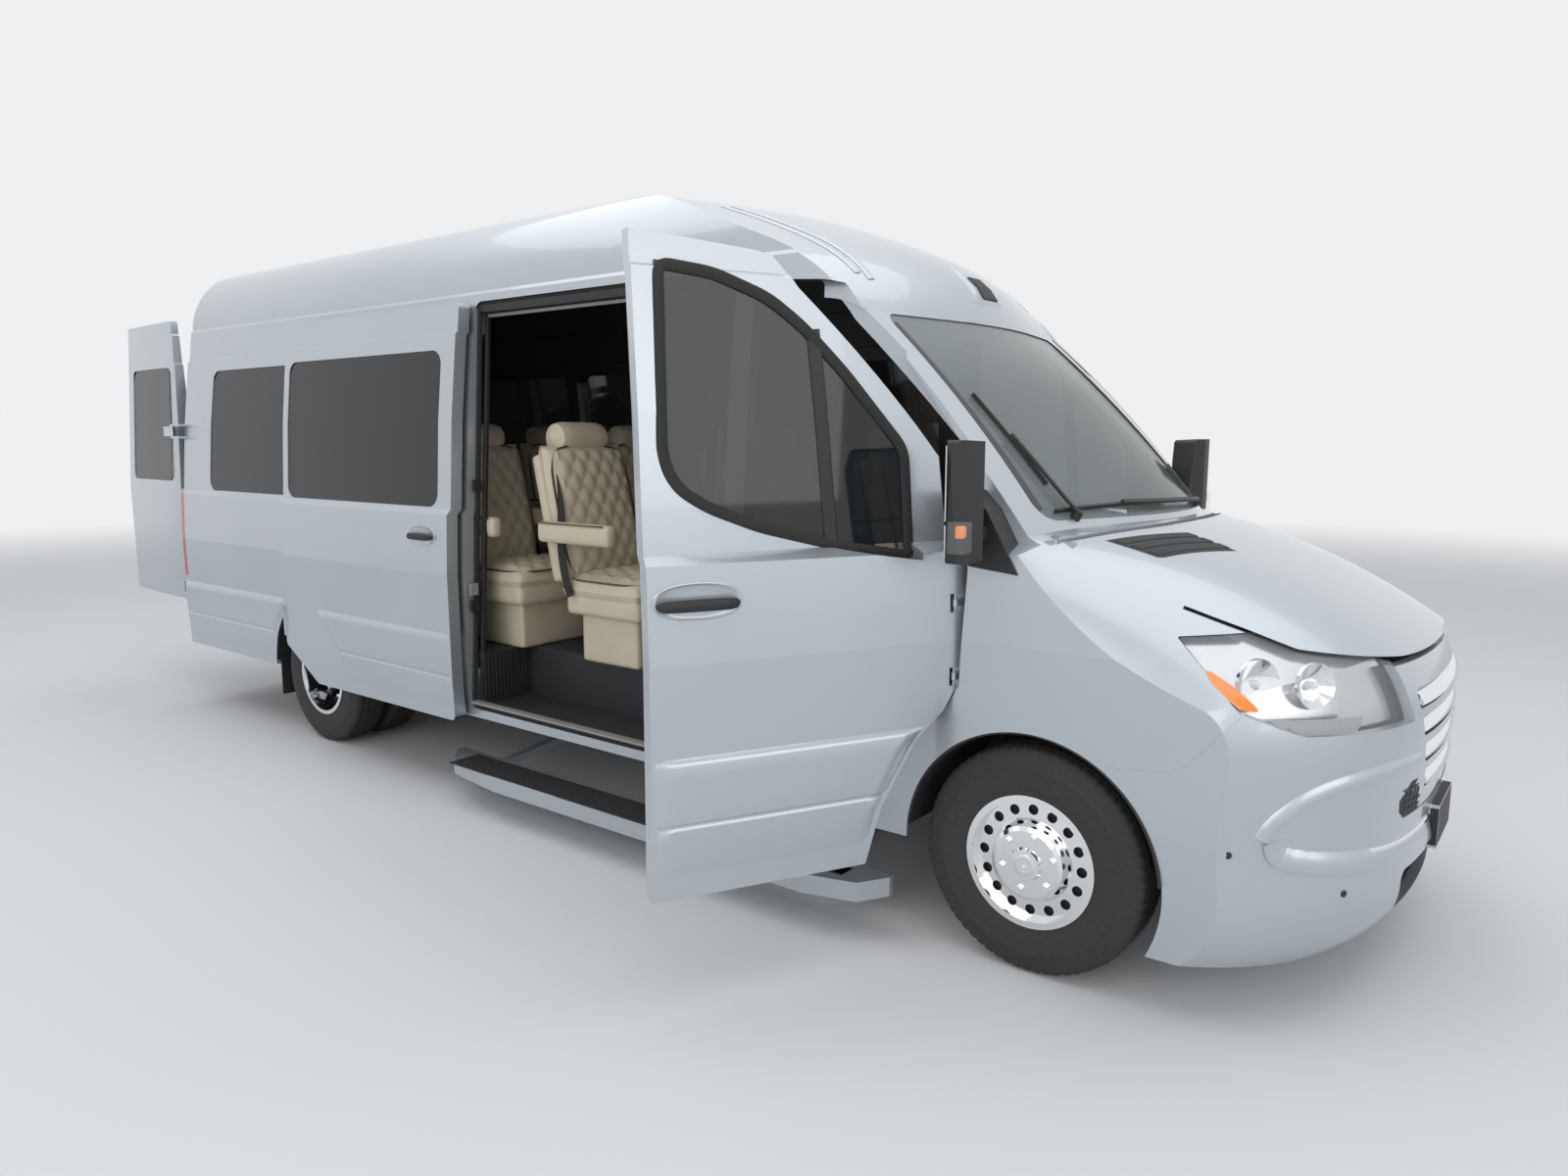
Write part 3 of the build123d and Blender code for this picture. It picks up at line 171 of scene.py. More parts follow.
silver = (0.50, 0.545, 0.58)
silverDeep = (0.46, 0.505, 0.54)
darkTrim = (0.035, 0.035, 0.038)
cream = (0.66, 0.585, 0.44)


def paintFinish(name, lined=False):
    # metallic paint with fine flakes; lined pieces are dark trim on the faces that look inwards
    finish = Finish(
        name, {"Coat Roughness": 0.04, "Coat IOR": 1.5, "Base Color": silver}
    )
    flake = finish.noise(900, 1)
    drift = finish.noise(2.2, 2)
    colour = finish.tint(drift, silver, silverDeep)
    metal = 0.55
    gloss = flake * 0.10 + 0.27
    coat = 0.9
    if lined:
        x, y = finish.place()[:2]
        nx, ny, nz = finish.facing()
        side = (y - midY) * 4
        behind = x.below(frontX - 5.80) * y.above(midY) * nx.above(0.35)
        inward = (side * ny).below(-0.02) + nz.below(-0.35) + behind
        inner = inward.above(0.5)
        colourNode = finish.node(
            "ShaderNodeMix", {"data_type": "RGBA"}, {0: inner, 6: colour, 7: (*darkTrim, 1)}, output=2
        )
        finish.feed("Base Color", colourNode)
        finish.feed("Metallic", (1 - inner) * metal)
        finish.feed("Coat Weight", (1 - inner) * coat)
        finish.feed("Roughness", gloss * (1 - inner) + inner * 0.7)
    else:
        finish.feed("Base Color", colour)
        finish.shader.inputs["Metallic"].default_value = metal
        finish.shader.inputs["Coat Weight"].default_value = coat
        finish.feed("Roughness", gloss)
    return finish.material


def chromeFinish():
    finish = Finish("chromePolish", {"Base Color": (0.86, 0.87, 0.88), "Metallic": 1.0})
    finish.feed("Roughness", finish.noise(30, 3) * 0.06 + 0.05)
    finish.bump(finish.noise(14, 2), 0.05, 0.002)
    return finish.material


def moulded(name, colour, rough, grain=420, depth=0.12):
    finish = Finish(name, {"Base Color": colour})
    speck = finish.noise(grain, 3)
    finish.feed("Roughness", speck * 0.15 + (rough - 0.07))
    finish.feed("Base Color", finish.tint(speck, colour, tuple(c * 1.35 + 0.004 for c in colour)))
    finish.bump(speck, depth, 0.001)
    return finish.material


def glassFinish(name, colour, alpha, band=False):
    finish = Finish(name, {"Base Color": colour, "Roughness": 0.03, "Specular IOR Level": 0.6})
    finish.shader.inputs["Alpha"].default_value = alpha
    streak = finish.noise(3, 2)
    if band:
        z = finish.place()[2]
        top = finish.node(
            "ShaderNodeMapRange", {}, {0: z, 1: 1.88, 2: 2.10, 3: alpha, 4: 0.62}
        )
        finish.feed("Alpha", top)
    finish.feed("Roughness", streak * 0.03 + 0.02)
    return finish.material


def leatherFinish(name, colour):
    finish = Finish(name, {"Base Color": colour, "Specular IOR Level": 0.4})
    point = finish.node("ShaderNodeTexCoord", output=3)
    grain = finish.node("ShaderNodeTexVoronoi", {}, {"Vector": point, "Scale": 320.0})
    mottled = finish.noise(9, 4)
    finish.feed("Base Color", finish.tint(mottled, colour, tuple(c * 0.82 for c in colour)))
    finish.feed("Roughness", mottled * 0.18 + 0.38)
    finish.bump(grain, 0.16, 0.0008)
    return finish.material


def tyreFinish():
    finish = Finish("tyreRubber", {"Base Color": (0.02, 0.02, 0.021)})
    dust = finish.noise(60, 4)
    finish.feed("Base Color", finish.tint(dust, (0.016, 0.016, 0.017), (0.045, 0.044, 0.043)))
    finish.feed("Roughness", dust * 0.2 + 0.62)
    finish.bump(finish.noise(500, 2), 0.15, 0.0008)
    return finish.material


def ribbedFinish(name, colour, pitch):
    # floor covering and tread plates with fine ribs along the van
    finish = Finish(name, {"Base Color": colour})
    y = finish.place()[1]
    ribs = (y * (2 * math.pi / pitch)).wave()
    speck = finish.noise(300, 3)
    finish.feed("Roughness", speck * 0.2 + 0.45)
    finish.feed("Base Color", finish.tint(speck, colour, tuple(c * 1.6 + 0.01 for c in colour)))
    finish.bump(ribs + speck * 0.3, 0.35, 0.002)
    return finish.material


def lensFinish(name, colour, alpha, glow=0.0):
    finish = Finish(
        name,
        {"Base Color": colour, "Alpha": alpha, "Specular IOR Level": 0.7, "Coat Weight": 1.0, "Coat Roughness": 0.02},
    )
    fine = finish.noise(40, 2)
    finish.feed("Roughness", fine * 0.04 + 0.03)
    if glow:
        finish.shader.inputs["Emission Strength"].default_value = glow
        finish.shader.inputs["Emission Color"].default_value = (*colour, 1)
    return finish.material


paint = paintFinish("silverPaint")
linedPaint = paintFinish("silverPaintLined", True)
chrome = chromeFinish()
blackPlastic = moulded("blackPlastic", (0.014, 0.014, 0.015), 0.55)
greyPlastic = moulded("greyPlastic", (0.055, 0.057, 0.06), 0.6)
softGrey = moulded("lampTexture", (0.32, 0.33, 0.34), 0.4, 260, 0.3)
rubber = moulded("sealRubber", (0.01, 0.01, 0.01), 0.7, 200)
chassisBlack = moulded("chassisBlack", (0.02, 0.02, 0.021), 0.45, 90, 0.2)
castGrey = moulded("castGrey", (0.16, 0.16, 0.165), 0.6, 60, 0.4)
bareSteel = moulded("bareSteel", (0.25, 0.25, 0.25), 0.4, 70, 0.2)
darkGlass = glassFinish("tintedGlass", (0.006, 0.007, 0.009), 0.95)
clearGlass = glassFinish("clearGlass", (0.30, 0.34, 0.34), 0.42, True)
doorGlass = glassFinish("doorGlass", (0.015, 0.019, 0.022), 0.80)
leather = leatherFinish("creamLeather", cream)
piping = leatherFinish("brownPiping", (0.10, 0.075, 0.05))
tyreRubber = tyreFinish()
floorMat = ribbedFinish("floorCovering", (0.018, 0.018, 0.02), 0.022)
treadBlack = ribbedFinish("treadPlate", (0.014, 0.014, 0.015), 0.016)
clearLens = lensFinish("clearLens", (0.80, 0.83, 0.85), 0.12)
amberLens = lensFinish("amberLens", (0.85, 0.22, 0.01), 1.0, 0.15)
redLens = lensFinish("redLens", (0.42, 0.01, 0.012), 1.0, 0.08)
whiteLens = lensFinish("whiteLens", (0.75, 0.76, 0.76), 1.0)
mirrorGlass = chromeFinish()
print("finishes made")

nodeFinish = {
    "windshield": clearGlass,
    "side_glass": darkGlass,
    "headlamps": clearLens,
    "tail_lamps": redLens,
    "floor_pan": floorMat,
    "step_wells": floorMat,
    "front_axle": chassisBlack,
    "rear_axle": chassisBlack,
    "chassis_frame": chassisBlack,
    "leaf_springs": chassisBlack,
    "fuel_tank": chassisBlack,
    "engine_block": castGrey,
    "exhaust": bareSteel,
    "propshaft": bareSteel,
    "knuckle_left": bareSteel,
    "knuckle_right": bareSteel,
    "front_rim_left": chrome,
    "front_rim_right": chrome,
    "rear_rims_left": chrome,
    "rear_rims_right": chrome,
    "mirrors": blackPlastic,
    "dashboard": greyPlastic,
    "steering_wheel": blackPlastic,
    "arch_liners": blackPlastic,
    "rear_bumper": blackPlastic,
    "running_boards": paint,
    "grille": paint,
    "fenders": paint,
    "front_bumper": paint,
    "hood": paint,
}
for name, node in nodes.items():
    if "glass" in name and name != "side_glass":
        finish = darkGlass if "rear" in name else doorGlass
    elif "tyre" in name:
        finish = tyreRubber
    elif "seats" in name:
        finish = leather
    else:
        finish = nodeFinish.get(name, linedPaint)
    node.data.materials.clear()
    node.data.materials.append(finish)
print("finishes given to the nodes")


def piece(name, points, faces, material, body, slot, smooth=True):
    mesh = bpy.data.meshes.new(name)
    mesh.from_pydata([tuple(p) for p in points], [], faces)
    mesh.materials.append(material)
    mesh.validate()
    tidy = bmesh.new()
    tidy.from_mesh(mesh)
    bmesh.ops.delete(tidy, geom=[v for v in tidy.verts if not v.link_faces], context="VERTS")
    bmesh.ops.recalc_face_normals(tidy, faces=tidy.faces)
    tidy.to_mesh(mesh)
    tidy.free()
    if smooth:
        mesh.shade_smooth()
        mesh.set_sharp_from_angle(angle=math.radians(38))
    made = bpy.data.objects.new(name, mesh)
    bpy.context.scene.collection.objects.link(made)
    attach(made, body)
    return made


def joined(parts):
    # several (points, faces) lists as one
    points = []
    faces = []
    for somePoints, someFaces in parts:
        start = len(points)
        points.extend(somePoints)
        faces.extend([tuple(index + start for index in face) for face in someFaces])
    return points, faces


def ringFaces(rings, steps, close=False):
    # faces between rings of the same number of points
    faces = []
    for ring in range(rings if close else rings - 1):
        a = ring * steps
        b = (ring + 1) % rings * steps
        faces.extend([(a + k, a + (k + 1) % steps, b + (k + 1) % steps, b + k) for k in range(steps)])
    return faces


def turned(profile, centre, axis, steps):
    # a profile of (along the axis, radius), turned round it
    axis = axis.normalized()
    helper = Vector((0, 0, 1)) if abs(axis.z) < 0.9 else Vector((1, 0, 0))
    right = axis.cross(helper).normalized()
    up = right.cross(axis)
    points = []
    for step in range(steps):
        angle = 2 * math.pi * step / steps
        out = right * math.cos(angle) + up * math.sin(angle)
        points.extend([centre + axis * along + out * radius for along, radius in profile])
    return points, ringFaces(steps, len(profile), True)


def bar(path, width, height, up=Vector((0, 0, 1)), close=False):
    # a rectangular section along a path
    points = []
    count = len(path)
    for index, here in enumerate(path):
        before = path[index - 1] if index or close else here
        after = path[(index + 1) % count] if index < count - 1 or close else here
        along = (after - before).normalized()
        side = along.cross(up).normalized() * (width / 2)
        rise = side.cross(along).normalized() * (height / 2)
        points.extend([here - side - rise, here + side - rise, here + side + rise, here - side + rise])
    faces = ringFaces(count, 4, close)
    if not close:
        last = (count - 1) * 4
        faces.extend([(3, 2, 1, 0), (last, last + 1, last + 2, last + 3)])
    return points, faces


def softBox(low, high, edge):
    # a block with rounded edges
    shape = bmesh.new()
    bmesh.ops.create_cube(shape, size=1)
    low = Vector(low)
    high = Vector(high)
    size = high - low
    for vertex in shape.verts:
        vertex.co = low + Vector([(c + 0.5) * s for c, s in zip(vertex.co, size)])
    if edge:
        bmesh.ops.bevel(
            shape, geom=shape.edges[:], offset=min(edge, min(size) * 0.45), segments=3, profile=0.6, affect="EDGES"
        )
    points = [vertex.co.copy() for vertex in shape.verts]
    faces = [tuple(vertex.index for vertex in face.verts) for face in shape.faces]
    shape.free()
    return points, faces


def treeOf(name):
    mesh = nodes[name].data
    return BVHTree.FromPolygons([v.co for v in mesh.vertices], [p.vertices for p in mesh.polygons])


trees = {}


def skin(name, start, direction):
    # where a line meets the surface of a node
    if name not in trees:
        trees[name] = treeOf(name)
    return trees[name].ray_cast(start, direction)[:2]


def turnAbout(point, centre, axis, degrees):
    spin = Matrix.Rotation(math.radians(degrees), 4, axis)
    return centre + spin @ (point - centre)


doorHinge = Vector(joints["front_door_right_hinge"]["pos_m"])
doorOpen = -joints["front_door_right_hinge"]["range_deg"][0]


def mirrored(point):
    return Vector((point.x, 2 * midY - point.y, point.z))


def onLeftDoor(x, z, lift):
    # a point on the outer skin of the closed left front door
    place, normal = skin("front_door_left", at(x, 1300, z), Vector((0, -1, 0)))
    if place is None or abs(place.y - midY) < 0.7:
        place = at(x, 990 if z < 1370 else 900, z)
        normal = Vector((0, 1, 0))
    return place + normal * (lift / 1000)


def toOpenDoor(point):
    return turnAbout(mirrored(point), doorHinge, Vector((0, 0, 1)), doorOpen)


def bothDoors(name, parts, material, slot, smooth=True):
    points, faces = joined(parts)
    piece(name + "Left", points, faces, material, "front_door_left", slot, smooth)
    opened = [toOpenDoor(point) for point in points]
    piece(name + "Right", opened, faces, material, "front_door_right", slot, smooth)


# tyres: carcass with grooves and shoulder blocks, two rings of moulding on the wall
tyre = {"radius": 0.380, "steps": 264}


def tyreShape(centre, outward):
    wall = [
        (-0.0885, 0.2062),
        (-0.0885, 0.222),
        (-0.093, 0.236),
        (-0.0965, 0.252),
        (-0.0995, 0.275),
        (-0.0975, 0.305),
        (-0.0985, 0.308),
        (-0.0965, 0.312),
        (-0.093, 0.338),
        (-0.0885, 0.356),
        (-0.0835, 0.366),
    ]
    crown = [(-0.078, 0.3725), (-0.062, 0.3765), (-0.058, 0.3768), (-0.0575, 0.3701)]
    crown += [(-0.0495, 0.3701), (-0.049, 0.377)]
    crown += [(-0.030, 0.3778), (-0.022, 0.378), (-0.0215, 0.3713), (-0.0125, 0.3713), (-0.012, 0.378)]
    left = wall + crown
    profile = left + [(-along, radius) for along, radius in reversed(left)]
    points = []
    steps = tyre["steps"]
    for step in range(steps):
        angle = 2 * math.pi * step / steps
        out = Vector((math.cos(angle), 0, math.sin(angle)))
        phase = step % 4
        for along, radius in profile:
            drop = 0.0
            if radius > 0.3717 and phase == 0 and abs(along) > 0.030:
                drop = 0.0050
            if radius > 0.3717 and phase == 2 and abs(along) < 0.049:
                drop = 0.0032
            if 0.350 < radius < 0.3717 and abs(along) > 0.08 and phase == 0:
                drop = 0.004
            points.append(centre + outward * along + out * (radius - drop))
    return points, ringFaces(steps, len(profile), True)


twinRows = (0.868, 0.633)
wheelSets = {
    "front_tyre_left": ("front_wheel_left", [leftHub.y]),
    "front_tyre_right": ("front_wheel_right", [rightHub.y]),
    "rear_tyres_left": ("rear_wheels_left", [midY + twinRows[0], midY + twinRows[1]]),
    "rear_tyres_right": ("rear_wheels_right", [midY - twinRows[0], midY - twinRows[1]]),
}
for node, (body, rows) in wheelSets.items():
    x = frontX if "front" in node else rearX
    parts = [tyreShape(Vector((x, y, tyre["radius"])), Vector((0, 1, 0))) for y in rows]
    points, faces = joined(parts)
    made = piece("tread_" + node, points, faces, tyreRubber, body, "tyre_rubber")
    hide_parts(node)
print("tyres made")

# front wheels: brake drums, dark backing behind the holes and hub caps
for side, hub in (("left", leftHub), ("right", rightHub)):
    outward = Vector((0, 1 if side == "left" else -1, 0))
    drum = turned([(-0.03, 0.05), (-0.03, 0.185), (0.02, 0.185), (0.02, 0.05)], hub, outward, 64)
    piece("brakeDrum_" + side, *drum, chassisBlack, "front_wheel_" + side, "chassis_black")
    backing = turned([(0.040, 0.06), (0.040, 0.195), (0.044, 0.195), (0.044, 0.06)], hub, outward, 64)
    piece("coverBacking_" + side, *backing, rubber, "front_wheel_" + side, "black_plastic")
    cap = [(0.118, 0.0), (0.124, 0.02), (0.1235, 0.034), (0.1195, 0.042), (0.112, 0.044), (0.112, 0.0)]
    piece("hubCap_" + side, *turned(cap, hub, outward, 64), chrome, "front_wheel_" + side, "wheel_chrome")

# seats: quilted cushions, backs with rolled heads, arm boxes and piping
seating = {"quilt": 0.085, "depth": 0.012, "slant": 0.62, "grid": 0.0125, "floor": 700, "cushion": 400}


def quilted(width, height, thick, place, crown=0.03):
    # a pad whose local x is its width, y its height and z its face
    across = max(24, int(width / seating["grid"]))
    along = max(16, int(height / seating["grid"]))
    points = []
    for j in range(along + 1):
        for i in range(across + 1):
            u = (i / across - 0.5) * 2
            v = (j / along - 0.5) * 2
            edge = (1 - abs(u) ** 6) * (1 - abs(v) ** 6)
            puff = 0.0
            if abs(u) < 0.84 and abs(v) < 0.9:
                x = u * width / 2
                y = v * height / 2
                p = (x + y * seating["slant"]) / seating["quilt"] * math.pi
                q = (x - y * seating["slant"]) / seating["quilt"] * math.pi
                puff = (abs(math.sin(p)) * abs(math.sin(q))) ** 0.55 * seating["depth"]
            face = thick / 2 * edge ** 0.35 + crown * (1 - u * u) * (1 - v * v) * 0.5 + puff
            pinch = 1 - 0.03 * (abs(u) ** 4) * (abs(v) ** 4)
            points.append(Vector((u * width / 2 * pinch, v * height / 2 * pinch, face)))
    front = len(points)
    for j in range(along + 1):
        for i in range(across + 1):
            u = (i / across - 0.5) * 2
            v = (j / along - 0.5) * 2
            edge = (1 - abs(u) ** 6) * (1 - abs(v) ** 6)
            points.append(Vector((u * width / 2, v * height / 2, -thick / 2 * edge ** 0.35)))
    faces = []
    row = across + 1
    for j in range(along):
        for i in range(across):
            a = j * row + i
            faces.append((a, a + 1, a + row + 1, a + row))
            b = a + front
            faces.append((b, b + row, b + row + 1, b + 1))
    rim = list(range(row))
    rim += [j * row + across for j in range(1, along + 1)]
    rim += [along * row + i for i in range(across - 1, -1, -1)]
    rim += [j * row for j in range(along - 1, 0, -1)]
    for index, a in enumerate(rim):
        b = rim[(index + 1) % len(rim)]
        faces.append((a, a + front, b + front, b))
    return [place @ point for point in points], faces


def pipeLoop(width, height, place, lift, radius):
    path = []
    for k in range(48):
        angle = 2 * math.pi * k / 48
        c = math.cos(angle)
        s = math.sin(angle)
        x = (abs(c) ** 0.4) * (1 if c > 0 else -1) * (width / 2)
        y = (abs(s) ** 0.4) * (1 if s > 0 else -1) * (height / 2)
        path.append(place @ Vector((x, y, lift)))
    return bar(path, radius * 2, radius * 2, place.to_3x3() @ Vector((0, 0, 1)), True)


def frameAt(origin, xAxis, yAxis):
    zAxis = xAxis.cross(yAxis).normalized()
    base = Matrix((xAxis, yAxis, zAxis)).transposed().to_4x4()
    return Matrix.Translation(origin) @ base


def chair(x, y, width, depth, height, arms):
    floor = seating["floor"]
    half = depth / 2
    parts = []
    cushionTop = floor + seating["cushion"]
    cushionPlace = frameAt(at(x, y, cushionTop - 62), Vector((0, -1, 0)), Vector((1, 0, 0)))
    parts.append(quilted(width / 1000 * 0.98, depth / 1000, 0.13, cushionPlace))
    lean = Vector((-150, 0, height - 340)).normalized()
    backLength = (height - 350) / 1000
    backMiddle = at(x - half - 62, y, floor + 370 + (height - 400) / 2)
    backPlace = frameAt(backMiddle, Vector((0, 1, 0)), lean)
    parts.append(quilted(width / 1000 * 0.94, backLength, 0.12, backPlace))
    points, faces = joined(parts)
    head = at(x - half - 152, y, floor + height + 22)
    roll = []
    reach = width / 1000 * 0.31
    for k in range(13):
        share = -1 + k / 6
        roll.append((share * reach, 0.072 * (1 - abs(share) ** 8) ** 0.5 + 0.004))
    headParts = turned([(-reach, 0.0)] + roll + [(reach, 0.0)], head, Vector((0, 1, 0)), 40)
    side = softBox(
        at(x - half + 20, y - width / 2 + 14, floor + 222), at(x + half - 8, y + width / 2 - 14, floor + 330), 0.03
    )
    base = softBox(
        at(x - half + 72, y - width / 2 + 62, floor + 1), at(x + half - 62, y + width / 2 - 62, floor + 232), 0.02
    )
    low = Vector((-width / 2000 + 0.02, -backLength / 2 + 0.02, -0.085))
    high = Vector((width / 2000 - 0.02, backLength / 2 - 0.03, -0.02))
    shellPoints, shellFaces = softBox(low, high, 0.03)
    shell = ([backPlace @ point for point in shellPoints], shellFaces)
    leatherParts = [(points, faces), headParts, side, base, shell]
    trims = [pipeLoop(width / 1000 * 0.93, depth / 1000 * 0.97, cushionPlace, 0.045, 0.004)]
    trims.append(pipeLoop(width / 1000 * 0.90, backLength * 0.97, backPlace, 0.04, 0.004))
    if arms:
        for sign in (-1, 1):
            inner = y + sign * (width / 2 - 10)
            outer = y + sign * (width / 2 + 56)
            low, high = sorted((inner, outer))
            box = softBox(at(x - half - 88, low, cushionTop + 152), at(x + half - 112, high, cushionTop + 248), 0.028)
            leatherParts.append(box)
            rim = [at(x - half - 60, outer, cushionTop + 243), at(x + half - 140, outer, cushionTop + 243)]
            trims.append(bar(rim, 0.006, 0.006))
    return leatherParts, trims


seatRows = {
    "front_seats": [(-1030, -520, 500, 490, 980, False), (-1030, 480, 500, 490, 980, False)],
    "captain_seats": [
        (x, y, 520, 500, 1000, True) for x in (-2150, -2950, -3720) for y in (-560, 560)
    ] + [(-5150, y, 495, 520, 980, False) for y in (-498, 0, 498)],
}
for node, rows in seatRows.items():
    for number, row in enumerate(rows):
        leatherParts, trims = chair(*row)
        points, faces = joined(leatherParts)
        made = piece(f"{node}_pad{number}", points, faces, leather, "body", "cream_leather")
        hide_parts(node)
        points, faces = joined(trims)
        piece(f"{node}_piping{number}", points, faces, piping, "body", "cream_leather")
print("seats made")


def cast(node, side, a, b):
    # a point on a node's surface, met square on from one side
    lines = {
        "right": (at(a, -1600, b), Vector((0, 1, 0))),
        "left": (at(a, 1600, b), Vector((0, -1, 0))),
        "front": (at(1700, a, b), Vector((-1, 0, 0))),
        "rear": (at(-6600, a, b), Vector((1, 0, 0))),
        "top": (at(a, b, 3300), Vector((0, 0, -1))),
    }
    start, direction = lines[side]
    place, normal = skin(node, start, direction)
    if place is not None and normal.dot(direction) > 0:
        normal = -normal
    return place, normal


def through(points, steps=6, close=False):
    # a smooth line through the points
    count = len(points)
    result = []
    for index in range(count if close else count - 1):
        corners = []
        for shift in (-1, 0, 1, 2):
            k = index + shift
            corners.append(points[k % count] if close else points[min(max(k, 0), count - 1)])
        p0, p1, p2, p3 = [Vector(c) for c in corners]
        for step in range(steps):
            t = step / steps
            square = (2 * p0 - 5 * p1 + 4 * p2 - p3) * t * t
            cube = (3 * p1 - p0 - 3 * p2 + p3) * t ** 3
            result.append(0.5 * (2 * p1 + (p2 - p0) * t + square + cube))
    if not close:
        result.append(Vector(points[-1]))
    return result


def cornered(points, radius, close=True, steps=5):
    # straight runs with rounded corners
    result = []
    count = len(points)
    for index in range(count):
        here = Vector(points[index])
        if not close and index in (0, count - 1):
            result.append(here)
            continue
        before = Vector(points[index - 1])
        after = Vector(points[(index + 1) % count])
        back = min(radius, (before - here).length * 0.45)
        ahead = min(radius, (after - here).length * 0.45)
        first = here + (before - here).normalized() * back
        last = here + (after - here).normalized() * ahead
        for step in range(steps + 1):
            t = step / steps
            result.append(first * (1 - t) ** 2 + here * 2 * t * (1 - t) + last * t * t)
    return result


def laid(node, side, line, lift=0.0):
    # a line on a surface, with the surface's direction at each point
    path = []
    normals = []
    for a, b in line:
        place, normal = cast(node, side, a, b)
        if place is None:
            continue
        if path and (place - path[-1]).length < 0.0008:
            continue
        path.append(place + normal * lift)
        normals.append(normal)
    return path, normals


def sweep(path, normals, section, close=False):
    # a closed section of (across, lift) carried along a line on a surface
    points = []
    count = len(path)
    for index, here in enumerate(path):
        before = path[index - 1] if index or close else here
        after = path[(index + 1) % count] if index < count - 1 or close else here
        along = (after - before).normalized()
        up = normals[index]
        across = along.cross(up).normalized()
        points.extend([here + across * a + up * lift for a, lift in section])
    size = len(section)
    faces = ringFaces(count, size, close)
    if not close:
        last = (count - 1) * size
        faces.extend([tuple(range(size)), tuple(last + k for k in reversed(range(size)))])
    return points, faces


def ridge(width, lift, sink=0.003):
    half = width / 2
    return [
        (-half, -sink),
        (-half, lift * 0.55),
        (-half * 0.6, lift),
        (half * 0.6, lift),
        (half, lift * 0.55),
        (half, -sink),
    ]


def panelOver(node, side, rows, columns=24):
    # a raised panel: rows of (height, lift, first, last) that follow the surface
    points = []
    faces = []
    for height, lift, first, last in rows:
        for column in range(columns + 1):
            a = first + (last - first) * column / columns
            place, normal = cast(node, side, a, height)
            if place is None:
                points.append(None)
                continue
            edge = -0.002 if column in (0, columns) else lift
            points.append(place + normal * edge)
    width = columns + 1
    for row in range(len(rows) - 1):
        for column in range(columns):
            a = row * width + column
            corners = (a, a + 1, a + width + 1, a + width)
            if all(points[corner] is not None for corner in corners):
                faces.append(corners)
    points = [point or Vector((0, 0, 1)) for point in points]
    return points, faces


def dish(centre, along, up, out, length, height, rim, steps=48):
    # an oval bowl with a raised rim
    rings = [(1.06, -0.002), (1.05, rim * 0.6), (1.0, rim), (0.94, rim * 0.7), (0.8, rim * 0.2)]
    rings += [(0.5, 0.0008), (0.02, 0.0006)]
    points = []
    for share, lift in rings:
        for step in range(steps):
            angle = 2 * math.pi * step / steps
            c, s = math.cos(angle), math.sin(angle)
            a = abs(c) ** 0.85 * (1 if c > 0 else -1) * length / 2 * share
            b = abs(s) ** 0.85 * (1 if s > 0 else -1) * height / 2 * share
            points.append(centre + along * a + up * b + out * lift)
    faces = ringFaces(len(rings), steps)
    last = (len(rings) - 1) * steps
    faces.append(tuple(last + step for step in range(steps)))
    return points, faces


def grip(first, last, out, width, height, lift):
    # a door pull, thick in the middle and turned in at its ends
    along = last - first
    up = out.cross(along).normalized()
    points = []
    size = 12
    count = 18
    for index in range(count + 1):
        t = index / count
        body = max(0.0, 1 - abs(2 * t - 1) ** 6) ** 0.5
        centre = first + along * t + out * (lift * (0.35 + 0.65 * body))
        for k in range(size):
            angle = 2 * math.pi * k / size
            reach = 0.35 + 0.65 * body
            points.append(
                centre + up * math.cos(angle) * height / 2 * reach + out * math.sin(angle) * width / 2 * reach
            )
    faces = ringFaces(count + 1, size)
    faces.extend([tuple(range(size)), tuple(count * size + k for k in reversed(range(size)))])
    return points, faces


# front doors: window frame and divider, handle, mouldings
door = {
    "outline": [
        (-380, 1343), (-391, 1690), (-610, 1932), (-750, 2064), (-862, 2141), (-1038, 2202), (-1215, 2219),
        (-1228, 1672), (-1187, 1580), (-1091, 1520), (-922, 1456), (-629, 1383),
    ],
    "divider": -672,
    "handle": (-1139, 1262, 0.262, 0.104),
}


def flatOnDoor(x, z, lift):
    # the plane of the window, a little outside the glass
    ahead = max(0, x + 1300) / 1300
    high = 1000 - 88 * ahead
    if z < 1393:
        y = high - 37 + (1393 - z) * 0.35
    elif z < 1800:
        y = high - 37 - 25 * (z - 1393) / 407
    else:
        y = high - 62 - 42 * (z - 1800) / 400
    return at(x, y + lift, z)


outline = cornered(door["outline"], 46)
path = [flatOnDoor(x, z, 0) for x, z in outline]
normals = [Vector((0, 1, 0.09)).normalized()] * len(path)
section = [(-0.010, -0.010), (-0.010, 0.003), (-0.004, 0.006), (0.016, 0.005), (0.024, 0.001), (0.024, -0.010)]
bothDoors("doorWindowFrame", [sweep(path, normals, section, True)], rubber, "black_plastic")
middle = door["divider"]
span = [flatOnDoor(middle - 4 * k, 1390 + k * 60, 0) for k in range(12)]
post = [(-0.022, -0.012), (-0.022, -0.001), (-0.017, 0.003), (0.017, 0.003), (0.022, -0.001), (0.022, -0.012)]
divider = sweep(span, [Vector((0, 1, 0.09)).normalized()] * len(span), post)
bothDoors("doorDivider", [divider], blackPlastic, "black_plastic")

